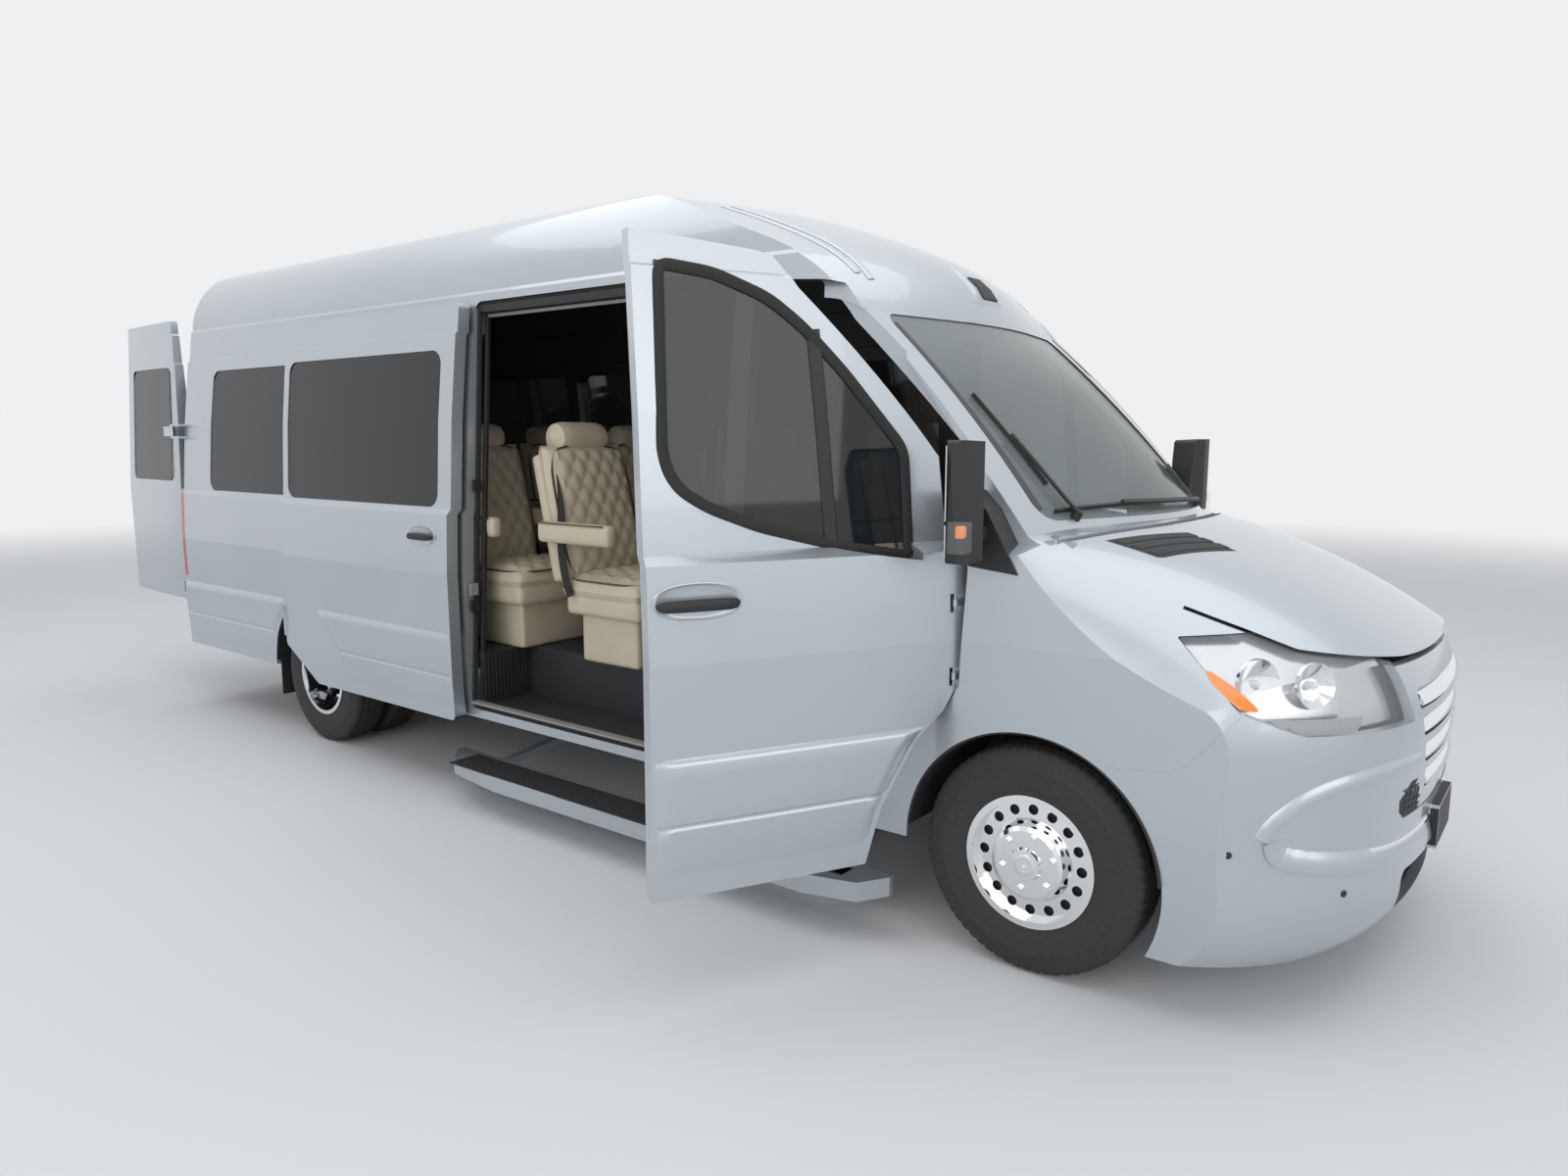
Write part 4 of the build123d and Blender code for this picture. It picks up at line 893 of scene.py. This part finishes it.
x, z, length, height = door["handle"]
middlePoint = onLeftDoor(x, z, 0)
bowl = dish(middlePoint, Vector((-1, 0, 0)), Vector((0, 0, 1)), Vector((0, 1, 0)), length, height, 0.006)
bothDoors("doorHandleBowl", [bowl], paint, "body_paint")
first = onLeftDoor(x - 126, z - 8, 0)
last = onLeftDoor(x + 128, z - 8, 0)
pull = grip(first, last, Vector((0, 1, 0)), 0.022, 0.036, 0.026)
bothDoors("doorHandlePull", [pull], blackPlastic, "black_plastic")
print("door frames and handles made")


# lower mouldings, one run per panel so that each moves with its own body
moulding = [
    (808, -0.002), (804, 0.001), (797, 0.009), (784, 0.0135), (740, 0.013), (660, 0.0115), (622, 0.010), (610, 0.009),
    (603, 0.0025), (594, 0.0025), (588, 0.007), (560, 0.0065), (480, 0.004), (430, -0.002),
]


def between(table, z):
    # a value at a height, from pairs of height and value
    for (z0, value0), (z1, value1) in zip(table, table[1:]):
        if z <= z1:
            return value0 + (value1 - value0) * (z - z0) / (z1 - z0)
    return table[-1][1]


def doorFront(z):
    # front edge of the front door, with a small margin
    return between([(375, -578), (560, -525), (765, -400), (850, -300), (930, -250), (1305, -232)], z) - 10


rows = [(z, lift, doorFront(z), -1281) for z, lift in moulding]
bothDoors("doorMoulding", [panelOver("front_door_left", "left", rows)], paint, "body_paint")


wheelArch = {"middle": -4325, "radius": 455, "gap": 16}


def arch(z, gap):
    # how far the rear wheel opening reaches from its middle at a height
    radius = wheelArch["radius"] + gap
    rise = z - tyre["radius"] * 1000
    return math.sqrt(max(radius * radius - rise * rise, 0)) if abs(rise) < radius else 0


def sideMoulding(name, node, side, first, last):
    front, back = max(first, last), min(first, last)
    spans = []
    middle, gap = wheelArch["middle"], wheelArch["gap"]
    if back < middle < front:
        spans.append((front, lambda z: middle + arch(z, gap)))
        spans.append((lambda z: middle - arch(z, gap), back))
    else:
        spans.append((front, back))
    for number, (start, end) in enumerate(spans):
        rows = []
        for z, lift in moulding:
            rows.append((z, lift, start(z) if callable(start) else start, end(z) if callable(end) else end))
        made = panelOver(node, side, rows, 36)
        piece(f"{name}{number}", *made, paint, "body", "body_paint")


sideMoulding("sideMouldingLeft", "side_wall_left", "left", -1302, -5930)
sideMoulding("sideMouldingRight", "side_wall_right", "right", -2890, -5930)
slideLow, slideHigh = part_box("sliding_door")
slideFirst = (slideHigh[0] - frontX) * 1000 - 8
slideLast = (slideLow[0] - frontX) * 1000 + 8
print("sliding door spans", slideFirst, slideLast)
sideMoulding("slideMoulding", "sliding_door", "right", slideFirst, slideLast)
print("mouldings made")

# sliding door: handle, stored behind its opening
place, normal = cast("sliding_door", "right", -3085, 1262)
bowl = dish(place, Vector((1, 0, 0)), Vector((0, 0, 1)), Vector((0, -1, 0)), 0.215, 0.092, 0.005)
piece("slideHandleBowl", *bowl, paint, "body", "body_paint")
first = place + Vector((-0.098, 0, -0.004))
last = place + Vector((0.098, 0, -0.004))
pull = grip(first, last, Vector((0, -1, 0)), 0.02, 0.032, 0.022)
piece("slideHandlePull", *pull, blackPlastic, "body", "black_plastic")


# side rails, seals and the doorway
railPath, railNormals = laid("side_wall_right", "right", [(x, 1318) for x in range(-4480, -2890, 60)])
if len(railPath) > 2:
    half = [(-0.016, -0.002), (-0.016, 0.005), (-0.006, 0.005), (-0.006, 0.0015)]
    rail = sweep(railPath, railNormals, half + [(-across, lift) for across, lift in reversed(half)])
    piece("slideRail", *rail, blackPlastic, "body", "black_plastic")
doorway = {"front": -1406, "rear": -2872, "top": 2343, "low": 446}
ring = cornered(
    [
        (doorway["front"], doorway["low"]), (doorway["front"], doorway["top"]),
        (doorway["rear"], doorway["top"]), (doorway["rear"], doorway["low"]),
    ],
    42,
)


def wallY(z):
    # half the body's width at a height
    lower = [(150, 980), (575, 996), (1080, 1000), (1367, 987), (1393, 963)]
    return between(lower + [(1800, 938), (2200, 896), (2208, 884), (2384, 866), (2400, 854)], z)


for name, inset, depth, size, material in (
    ("doorwaySealOuter", 0, 22, 0.016, rubber),
    ("doorwaySealInner", 10, 58, 0.020, rubber),
):
    path = []
    normals = []
    centre = Vector(((doorway["front"] + doorway["rear"]) / 2, (doorway["top"] + doorway["low"]) / 2))
    for point in ring:
        inward = centre - point
        x = point.x + (inset if inward.x > 0 else -inset)
        z = point.y + (inset if inward.y > 0 else -inset)
        path.append(at(x, -(wallY(z) - depth), z))
        normals.append(Vector((0, -1, 0)))
    piece(name, *sweep(path, normals, ridge(size, 0.010, 0.010), True), material, "body", "black_plastic")
doorwayRun = range(-2860, -1410, 60)
headRail = [at(x, -(wallY(2318) - 30), 2318) for x in doorwayRun]
piece("slideHeadRail", *bar(headRail, 0.040, 0.034), blackPlastic, "body", "black_plastic")
headTrim = [at(x, -(wallY(2290) - 60), 2290) for x in doorwayRun]
piece("slideHeadTrim", *bar(headTrim, 0.012, 0.014), bareSteel, "body", "bare_steel")
sillStrip = [at(x, -982, 466) for x in doorwayRun]
piece("slideSillStrip", *bar(sillStrip, 0.036, 0.010), bareSteel, "body", "bare_steel")
lowRail = [at(x, -958, 452) for x in doorwayRun]
piece("slideLowRail", *bar(lowRail, 0.020, 0.014), blackPlastic, "body", "black_plastic")
for z in (930, 1010, 1500):
    striker = softBox(at(-2868, -(wallY(z) - 60), z - 28), at(-2850, -(wallY(z) - 20), z + 28), 0.006)
    material, slot = (bareSteel, "bare_steel") if z == 1010 else (blackPlastic, "black_plastic")
    piece(f"striker{z}", *striker, material, "body", slot)
print("doorway trimmed")

# running board treads
boardTop = 210
for side in (-1, 1):
    for number, (first, last, inner, outer) in enumerate(((-1395, -2830, 1000, 1150), (-640, -1080, 1010, 1070))):
        slats = []
        for k in range(9):
            y = inner + (outer - inner) * k / 8
            place, normal = cast("running_boards", "top", (first + last) / 2, side * y)
            if place is None or place.z > 0.30:
                continue
            slats.append(bar([at(first, side * y, boardTop + 1), at(last, side * y, boardTop + 1)], 0.015, 0.005))
        if slats:
            name = "boardTread" + ("Right" if side < 0 else "Left") + str(number)
            piece(name, *joined(slats), treadBlack, "body", "black_plastic")
print("boards made")


# headlamps: dark housing, two chrome bowls, amber reflector and textured lower strip
lamp = {"bowls": ((646, 866, 1040, 0.068), (776, 780, 1038, 0.062)), "back": 0.045}
source = nodes["headlamps"].data
points = []
for vertex in source.vertices:
    shift = 0.020 if vertex.co.y > midY else -0.020
    points.append(Vector((vertex.co.x - lamp["back"], vertex.co.y - shift, vertex.co.z * 0.985 + 0.0155)))
faces = [tuple(polygon.vertices) for polygon in source.polygons]
lampHousing = Finish("lampHousing", {"Base Color": (0.62, 0.63, 0.65), "Metallic": 1.0})
lampHousing.feed("Roughness", lampHousing.noise(12, 2) * 0.08 + 0.16)
piece("lampHousing", points, faces, lampHousing.material, "body", "clear_lamp")
for side in (-1, 1):
    tag = "Right" if side < 0 else "Left"
    view = "right" if side < 0 else "left"
    parts = []
    bulbs = []
    for x, y, z, radius in lamp["bowls"]:
        centre = at(x, side * y, z)
        out = Vector((0.80, side * 0.56, 0.10)).normalized()
        deep = centre - out * 0.030
        bowl = [(-0.030, 0.006), (-0.024, 0.3 * radius), (-0.008, 0.7 * radius)]
        bowl += [(0.012, radius), (0.015, radius + 0.004)]
        bowl += [(0.006, radius + 0.005), (-0.014, 0.74 * radius), (-0.034, 0.3 * radius), (-0.036, 0.006)]
        parts.append(turned(bowl, deep, out, 48))
        bulb = [(-0.028, 0.0), (-0.028, 0.012), (0.004, 0.011), (0.012, 0.007), (0.014, 0.0)]
        bulbs.append(turned(bulb, deep, out, 24))
    piece("lampBowls" + tag, *joined(parts), chrome, "body", "wheel_chrome")
    piece("lampBulbs" + tag, *joined(bulbs), whiteLens, "body", "clear_lamp")
    shape = [(505, 1072), (548, 1052), (612, 1012), (650, 976), (604, 980), (552, 1018), (518, 1046)]
    ring = through(shape, 5, True)
    middle = sum(ring, Vector((0, 0))) / len(ring)
    patch = []
    for share in (1.0, 0.97, 0.6, 0.02):
        for point in ring:
            spot = middle + (point - middle) * share
            for node in ("headlamps", "fenders", "front_bumper"):
                place, normal = cast(node, view, spot.x, spot.y)
                if place is not None:
                    break
            if place is None:
                patch.append(patch[-1] if patch else at(spot.x, side * 950, spot.y))
                continue
            patch.append(place + normal * (-0.001 if share == 1.0 else 0.0012))
    count = len(ring)
    faces = ringFaces(4, count)
    faces.append(tuple(3 * count + k for k in range(count)))
    piece("lampAmber" + tag, patch, faces, amberLens, "body", "clear_lamp")
    rows = [(952, -0.001, 650, 872), (949, 0.0015, 640, 874), (930, 0.0015, 668, 872)]
    rows += [(913, 0.0015, 700, 866), (909, -0.001, 712, 860)]
    piece("lampStrip" + tag, *panelOver("headlamps", view, rows, 30), softGrey, "body", "clear_lamp")
print("lamps made")


# grille: chrome blades in the slots and a dark screen behind
def noseAt(y, z, forward=0.0):
    share = y / 1000
    return at(1010 - 190 * share ** 2 - 330 * share ** 6 + forward, y, z)


def noseNormal(y):
    share = y / 1000
    return Vector((1, 0.38 * share + 1.98 * share ** 5, 0)).normalized()


grilleParts = {"low": [928, 840, 752, 664], "middle": 31, "margin": 52}
blades = []
for low in grilleParts["low"]:
    half = 330 + (low - 612) * 0.38 - grilleParts["margin"]
    ys = [-half + 2 * half * k / 28 for k in range(29)]
    path = [noseAt(y, low + grilleParts["middle"]) for y in ys]
    normals = [noseNormal(y) for y in ys]
    section = [(-0.022, -0.026), (-0.012, -0.008), (0.006, 0.004), (0.016, 0.007)]
    section += [(0.020, 0.003), (0.014, -0.005), (-0.016, -0.032)]
    blades.append(sweep(path, normals, section))
piece("grilleBlades", *joined(blades), chrome, "body", "wheel_chrome")
points = []
for z in (640, 1010):
    half = 330 + (z - 612) * 0.38 - 40
    points.extend([noseAt(-half + 2 * half * k / 20, z, -46) for k in range(21)])
faces = [(k, k + 1, k + 22, k + 21) for k in range(20)]
piece("grilleScreen", points, faces, blackPlastic, "body", "black_plastic")

# bumper: recess edges, dark intake with lattice, chrome strip, plate carrier and sensors
upperLip = [
    (903, 603), (893, 640), (868, 682), (822, 726), (760, 751), (680, 765), (568, 772), (420, 768), (250, 762),
]
lowerLip = [
    (900, 598), (893, 560), (872, 532), (820, 514), (746, 503), (660, 495), (557, 488), (420, 478), (245, 470),
    (168, 468),
]
rises = [(-0.034, -0.003), (-0.030, 0.001), (-0.006, 0.010), (0.004, 0.0095), (0.009, -0.003)]
shelf = [(-0.012, -0.003), (-0.009, 0.010), (0.002, 0.0135), (0.030, 0.009), (0.058, 0.001), (0.062, -0.003)]
for side in (-1, 1):
    tag = "Right" if side < 0 else "Left"
    for name, line, section in (("bumperUpperLip", upperLip, rises), ("bumperLowerLip", lowerLip, shelf)):
        smooth = through([(side * y, z) for y, z in line], 6)
        path, normals = laid("front_bumper", "front", [(p.x, p.y) for p in smooth])
        turn = -1 if (side > 0) == (name == "bumperUpperLip") else 1
        shaped = [(a * turn, lift) for a, lift in (section if turn > 0 else reversed(section))]
        piece(name + tag, *sweep(path, normals, shaped), paint, "body", "body_paint")
    discs = []
    for x, y, z in ((604, 954, 559), (861, 707, 429)):
        centre = at(x, side * y, z)
        out = Vector((0.25 if x < 700 else 0.8, side * 0.97 if x < 700 else side * 0.6, 0)).normalized()
        disc = [(-0.004, 0.0), (-0.004, 0.011), (0.0015, 0.0105), (0.002, 0.008), (0.001, 0.0)]
        discs.append(turned(disc, centre, out, 24))
    piece("bumperSensors" + tag, *joined(discs), blackPlastic, "body", "black_plastic")
intake = [(716, -0.001, 400), (712, 0.0015, 440), (665, 0.0015, 508), (628, 0.0015, 500)]
intake += [(606, 0.0015, 470), (602, -0.001, 450)]
rows = [(z, lift, -reach, reach) for z, lift, reach in intake]
piece("intakePanel", *panelOver("front_bumper", "front", rows, 40), blackPlastic, "body", "black_plastic")
bars = []
for z in (625, 647, 669, 691):
    path, normals = laid("front_bumper", "front", [(y, z) for y in range(-470, 471, 30)])
    bars.append(sweep(path, normals, ridge(0.004, 0.005)))
for y in range(-450, 451, 30):
    path, normals = laid("front_bumper", "front", [(y, z) for z in range(612, 708, 12)])
    if len(path) > 2:
        bars.append(sweep(path, normals, ridge(0.003, 0.0045)))
piece("intakeLattice", *joined(bars), greyPlastic, "body", "black_plastic")
stripHalf = [(-628, 548), (-610, 541), (-520, 536), (-400, 536), (-250, 540)]
strip = through(stripHalf + [(0, 542)] + [(-y, z) for y, z in reversed(stripHalf)], 4)
path, normals = laid("front_bumper", "front", [(p.x, p.y) for p in strip])
path = [noseAt((p.y - midY) * 1000, (p.z) * 1000, -2) if abs(p.y - midY) < 0.17 else p for p in path]
piece("bumperStrip", *sweep(path, normals, ridge(0.014, 0.006)), chrome, "body", "wheel_chrome")
rim = cornered([(-152, 436), (-152, 564), (152, 564), (152, 436)], 14)
points = [at(1000, p.x * 1.045, (p.y - 500) * 1.10 + 500) for p in rim]
points += [at(1024.4, p.x * 1.045, (p.y - 500) * 1.10 + 500) for p in rim]
points += [at(1025.2, p.x, p.y) for p in rim]
points += [at(1025.2, p.x * 0.05, (p.y - 500) * 0.05 + 500) for p in rim]
count = len(rim)
faces = ringFaces(4, count)
faces.append(tuple(3 * count + k for k in range(count)))
piece("plateCarrier", points, faces, blackPlastic, "body", "black_plastic", False)
print("front made")

# hood vent on the right
vent = {"corners": ((100, -690), (243, -312), (420, -318), (277, -664)), "lines": 26}


def ventAt(u, v, lift):
    (ax, ay), (bx, by), (cx, cy), (dx, dy) = vent["corners"]
    x = (ax * (1 - u) + bx * u) * (1 - v) + (dx * (1 - u) + cx * u) * v
    y = (ay * (1 - u) + by * u) * (1 - v) + (dy * (1 - u) + cy * u) * v
    place, normal = cast("hood", "top", x, y)
    if place is None:
        return None, None
    return place + normal * lift, normal


points = []
faces = []
size = 16
for row in range(size + 1):
    for column in range(size + 1):
        rim = row in (0, size) or column in (0, size)
        place, normal = ventAt(column / size, row / size, -0.001 if rim else 0.003)
        if place is None:
            place = points[-1] if points else at(240, -500, 1380)
        points.append(place)
for row in range(size):
    for column in range(size):
        a = row * (size + 1) + column
        faces.append((a, a + 1, a + size + 2, a + size + 1))
piece("hoodVent", points, faces, blackPlastic, "hood", "black_plastic")
fins = []
for band in range(3):
    for k in range(vent["lines"]):
        u = 0.07 + 0.86 * k / (vent["lines"] - 1)
        path = []
        normals = []
        for step in range(4):
            place, normal = ventAt(u, 0.10 + band * 0.29 + 0.21 * step / 3, 0.003)
            if place is not None:
                path.append(place)
                normals.append(normal)
        if len(path) > 1:
            fins.append(sweep(path, normals, ridge(0.006, 0.004)))
piece("hoodVentFins", *joined(fins), greyPlastic, "hood", "black_plastic")

# wipers, resting on the glass
def onGlass(y, z, lift):
    place, normal = cast("windshield", "front", y, z)
    if place is None:
        place, normal = cast("cab_frame", "front", y, z)
    if place is None:
        place, normal = at(60, y, z), Vector((0.6, 0, 0.8))
    return place + normal * lift


wiperPaths = {
    "wiperRight": (
        [(-646, 1868), (-648, 1795), (-649, 1721), (-650, 1645), (-651, 1566)],
        [(-649, 1721), (-640, 1580), (-632, 1500), (-622, 1466)],
    ),
    "wiperLeft": (
        [(-700, 1482), (-560, 1488), (-400, 1492), (-240, 1494), (-80, 1492)],
        [(-380, 1492), (-120, 1486), (150, 1478), (330, 1468)],
    ),
}
for name, (blade, arm) in wiperPaths.items():
    parts = []
    line = through(blade, 5)
    parts.append(bar([onGlass(p.x, p.y, 0.010) for p in line], 0.008, 0.014, Vector((0.6, 0, 0.8))))
    line = through(arm, 5)
    parts.append(bar([onGlass(p.x, p.y, 0.024) for p in line], 0.016, 0.010, Vector((0.6, 0, 0.8))))
    foot = onGlass(arm[-1][0], arm[-1][1], 0.012)
    pivot = [(-0.02, 0.0), (-0.02, 0.018), (0.014, 0.016), (0.018, 0.010), (0.018, 0.0)]
    parts.append(turned(pivot, foot, Vector((0.5, 0, 0.87)), 24))
    piece(name, *joined(parts), blackPlastic, "body", "black_plastic")
edge = [(-752, 1492), (-745, 1560), (-732, 1700), (-718, 1850), (-703, 2000), (-690, 2130)]
for side in (-1, 1):
    line = through([(side * abs(y), z) for y, z in edge], 5)
    path = [onGlass(p.x, p.y, 0) for p in line]
    normals = [Vector((0.72, side * 0.35, 0.6)).normalized()] * len(path)
    border = sweep(path, normals, ridge(0.030, 0.002, 0.002))
    piece("shieldBorder" + ("Left" if side > 0 else "Right"), *border, greyPlastic, "body", "black_plastic")

# roof: marker pod, its fairing and the creases beside it
rows = [
    (2366, -0.002, -50, 50), (2358, 0.012, -55, 55), (2310, 0.018, -60, 60),
    (2268, 0.016, -66, 66), (2258, -0.002, -68, 68),
]
piece("roofPod", *panelOver("roof_panel", "front", rows, 14), blackPlastic, "body", "black_plastic")
rows = [
    (2420, -0.002, -80, 80), (2380, 0.008, -88, 88), (2310, 0.012, -96, 96),
    (2262, 0.010, -104, 104), (2246, -0.002, -108, 108),
]
piece("roofFairing", *panelOver("roof_panel", "front", rows, 20), paint, "body", "body_paint")
for side in (-1, 1):
    tag = "Left" if side > 0 else "Right"
    for number, offset in enumerate((0, 62)):
        crease = [(-1560, 560 + offset), (-1300, 575 + offset), (-1080, 600 + offset)]
        crease += [(-900, 632 + offset * 0.8), (-800, 655 + offset * 0.6)]
        line = through([(x, side * y) for x, y in crease], 6)
        path, normals = laid("roof_panel", "top", [(p.x, p.y) for p in line])
        if len(path) > 3:
            piece(f"roofCrease{tag}{number}", *sweep(path, normals, ridge(0.030, 0.0045)), paint, "body", "body_paint")

# mirrors: glass to the rear, indicator at the front corner
for side in (-1, 1):
    tag = "Left" if side > 0 else "Right"
    inner = Vector((-245, -1026))
    outer = Vector((-190, -1190))
    panes = []
    for z0, z1 in ((1478, 1702), (1372, 1466)):
        points = []
        back = Vector((-0.948, -0.318))
        for lift in (0.0, 0.003):
            for p, z in ((inner, z0), (outer, z0), (outer, z1), (inner, z1)):
                place = at(p.x, p.y, z) + Vector((back.x, back.y, 0)) * lift
                points.append(place)
        faces = [(0, 1, 5, 4), (1, 2, 6, 5), (2, 3, 7, 6), (3, 0, 4, 7), (4, 5, 6, 7)]
        panes.append((points, faces))
    points, faces = joined(panes)
    if side > 0:
        points = [mirrored(p) for p in points]
    piece("mirrorGlass" + tag, points, faces, mirrorGlass, "body", "wheel_chrome", False)
    lens = softBox(at(-178, -1206, 1382), at(-122, -1146, 1480), 0.008)
    amber = softBox(at(-168, -1197, 1428), at(-132, -1156, 1468), 0.008)
    for name, (points, faces), material in (("indicatorLens", lens, clearLens), ("indicatorAmber", amber, amberLens)):
        if side > 0:
            points = [mirrored(p) for p in points]
        piece(name + tag, points, faces, material, "body", "clear_lamp")

# rear door furniture
place, normal = cast("rear_door_left", "rear", 70, 1175)
if place is not None:
    grips = [softBox(place + Vector((-0.020, -0.028, -0.085)), place + Vector((0.002, 0.028, 0.085)), 0.008)]
    piece("rearDoorHandle", *joined(grips), blackPlastic, "rear_door_left", "black_plastic")
lines = []
for z in (806, 902):
    path, normals = laid("rear_door_left", "rear", [(y, z) for y in range(60, 830, 30)])
    if len(path) > 3:
        lines.append(sweep(path, normals, ridge(0.016, 0.004)))
piece("rearDoorMoulding", *joined(lines), paint, "rear_door_left", "body_paint")

# seat belts on the captain's chairs
belted = [(x, y) for y in (-560, 560) for x in (-2150, -2950, -3720)]
for number, (x, y) in enumerate(belted):
    side = -1 if y < 0 else 1
    line = [
        at(x - 395, y + side * 205, 1660),
        at(x - 330, y + side * 214, 1560),
        at(x - 262, y + side * 232, 1400),
        at(x - 232, y + side * 262, 1230),
        at(x - 200, y + side * 268, 1090),
        at(x - 170, y + side * 266, 1010),
    ]
    strap = bar(through(line, 4), 0.004, 0.046, Vector((1, 0, 0.2)))
    piece(f"seatBelt{number}", *strap, rubber, "body", "black_plastic")
print("trim made")


# floor, backdrop colour and soft studio light
studio = {"floor": (0.78, 0.79, 0.80), "backdrop": (0.86, 0.87, 0.88), "fill": 0.50, "reach": 90}


def studioFloor():
    reach = studio["reach"]
    mesh = bpy.data.meshes.new("studioFloor")
    corners = [(-reach, -reach, 0), (reach, -reach, 0), (reach, reach, 0), (-reach, reach, 0)]
    mesh.from_pydata(corners, [], [(0, 1, 2, 3)])
    made = bpy.data.objects.new("studioFloor", mesh)
    bpy.context.scene.collection.objects.link(made)
    finish = Finish("studioFloor", {"Roughness": 0.7, "Specular IOR Level": 0.0, "Emission Strength": 1.0})
    x, y = finish.place()[:2]
    far = finish.node("ShaderNodeMapRange", {"interpolation_type": "SMOOTHSTEP"}, {0: x * x + y * y, 1: 30.0, 2: 420.0})
    dark = (0, 0, 0)
    finish.feed("Base Color", finish.tint(far, studio["floor"], dark))
    finish.feed("Emission Color", finish.tint(far, dark, studio["backdrop"]))
    mesh.materials.append(finish.material)


def studioWorld():
    world = bpy.data.worlds.new("studio")
    bpy.context.scene.world = world
    world.use_nodes = True
    tree = world.node_tree
    tree.nodes.clear()
    output = tree.nodes.new("ShaderNodeOutputWorld")
    mix = tree.nodes.new("ShaderNodeMixShader")
    seen = tree.nodes.new("ShaderNodeBackground")
    light = tree.nodes.new("ShaderNodeBackground")
    rays = tree.nodes.new("ShaderNodeLightPath")
    seen.inputs["Color"].default_value = (*studio["backdrop"], 1)
    seen.inputs["Strength"].default_value = 1.0
    light.inputs["Color"].default_value = (0.93, 0.96, 1.0, 1)
    light.inputs["Strength"].default_value = studio["fill"]
    either = rays.outputs["Is Camera Ray"]
    for name in ("Is Glossy Ray", "Is Transmission Ray"):
        more = tree.nodes.new("ShaderNodeMath")
        more.operation = "MAXIMUM"
        tree.links.new(either, more.inputs[0])
        tree.links.new(rays.outputs[name], more.inputs[1])
        either = more.outputs[0]
    tree.links.new(either, mix.inputs[0])
    tree.links.new(light.outputs[0], mix.inputs[1])
    tree.links.new(seen.outputs[0], mix.inputs[2])
    tree.links.new(mix.outputs[0], output.inputs[0])


def softLight(name, place, target, size, power, colour):
    lamp = bpy.data.lights.new(name, "AREA")
    lamp.shape = "RECTANGLE"
    lamp.size, lamp.size_y = size
    lamp.energy = power
    lamp.color = colour
    made = bpy.data.objects.new(name, lamp)
    made.location = place
    made.rotation_euler = (Vector(target) - Vector(place)).to_track_quat("-Z", "Y").to_euler()
    bpy.context.scene.collection.objects.link(made)


studioFloor()
studioWorld()
softLight("skyPanel", (0, 0, 9), (0, 0, 0), (16, 12), 520, (0.97, 0.98, 1.0))
softLight("sidePanel", (4, -11, 5), (1, 0, 1.2), (12, 6), 330, (1, 0.99, 0.97))
softLight("nosePanel", (13, -3, 4.5), (2, 0, 1.2), (8, 5), 190, (1, 0.99, 0.98))

view = {"place": at(1369.2, -3959.6, 1727.6), "yaw": 128.092, "pitch": 8.148, "lens": 24.21}
camera = bpy.data.cameras.new("camera")
camera.lens = view["lens"]
camera.sensor_width = 36
camera.clip_end = 300
cameraObject = bpy.data.objects.new("camera", camera)
yaw = math.radians(view["yaw"])
pitch = math.radians(view["pitch"])
gaze = Vector((math.cos(yaw) * math.cos(pitch), math.sin(yaw) * math.cos(pitch), -math.sin(pitch)))
cameraObject.location = view["place"]
cameraObject.rotation_euler = gaze.to_track_quat("-Z", "Y").to_euler()
bpy.context.scene.collection.objects.link(cameraObject)
bpy.context.scene.camera = cameraObject
bpy.context.scene.view_settings.view_transform = "Standard"
print("stage, lights and camera placed")
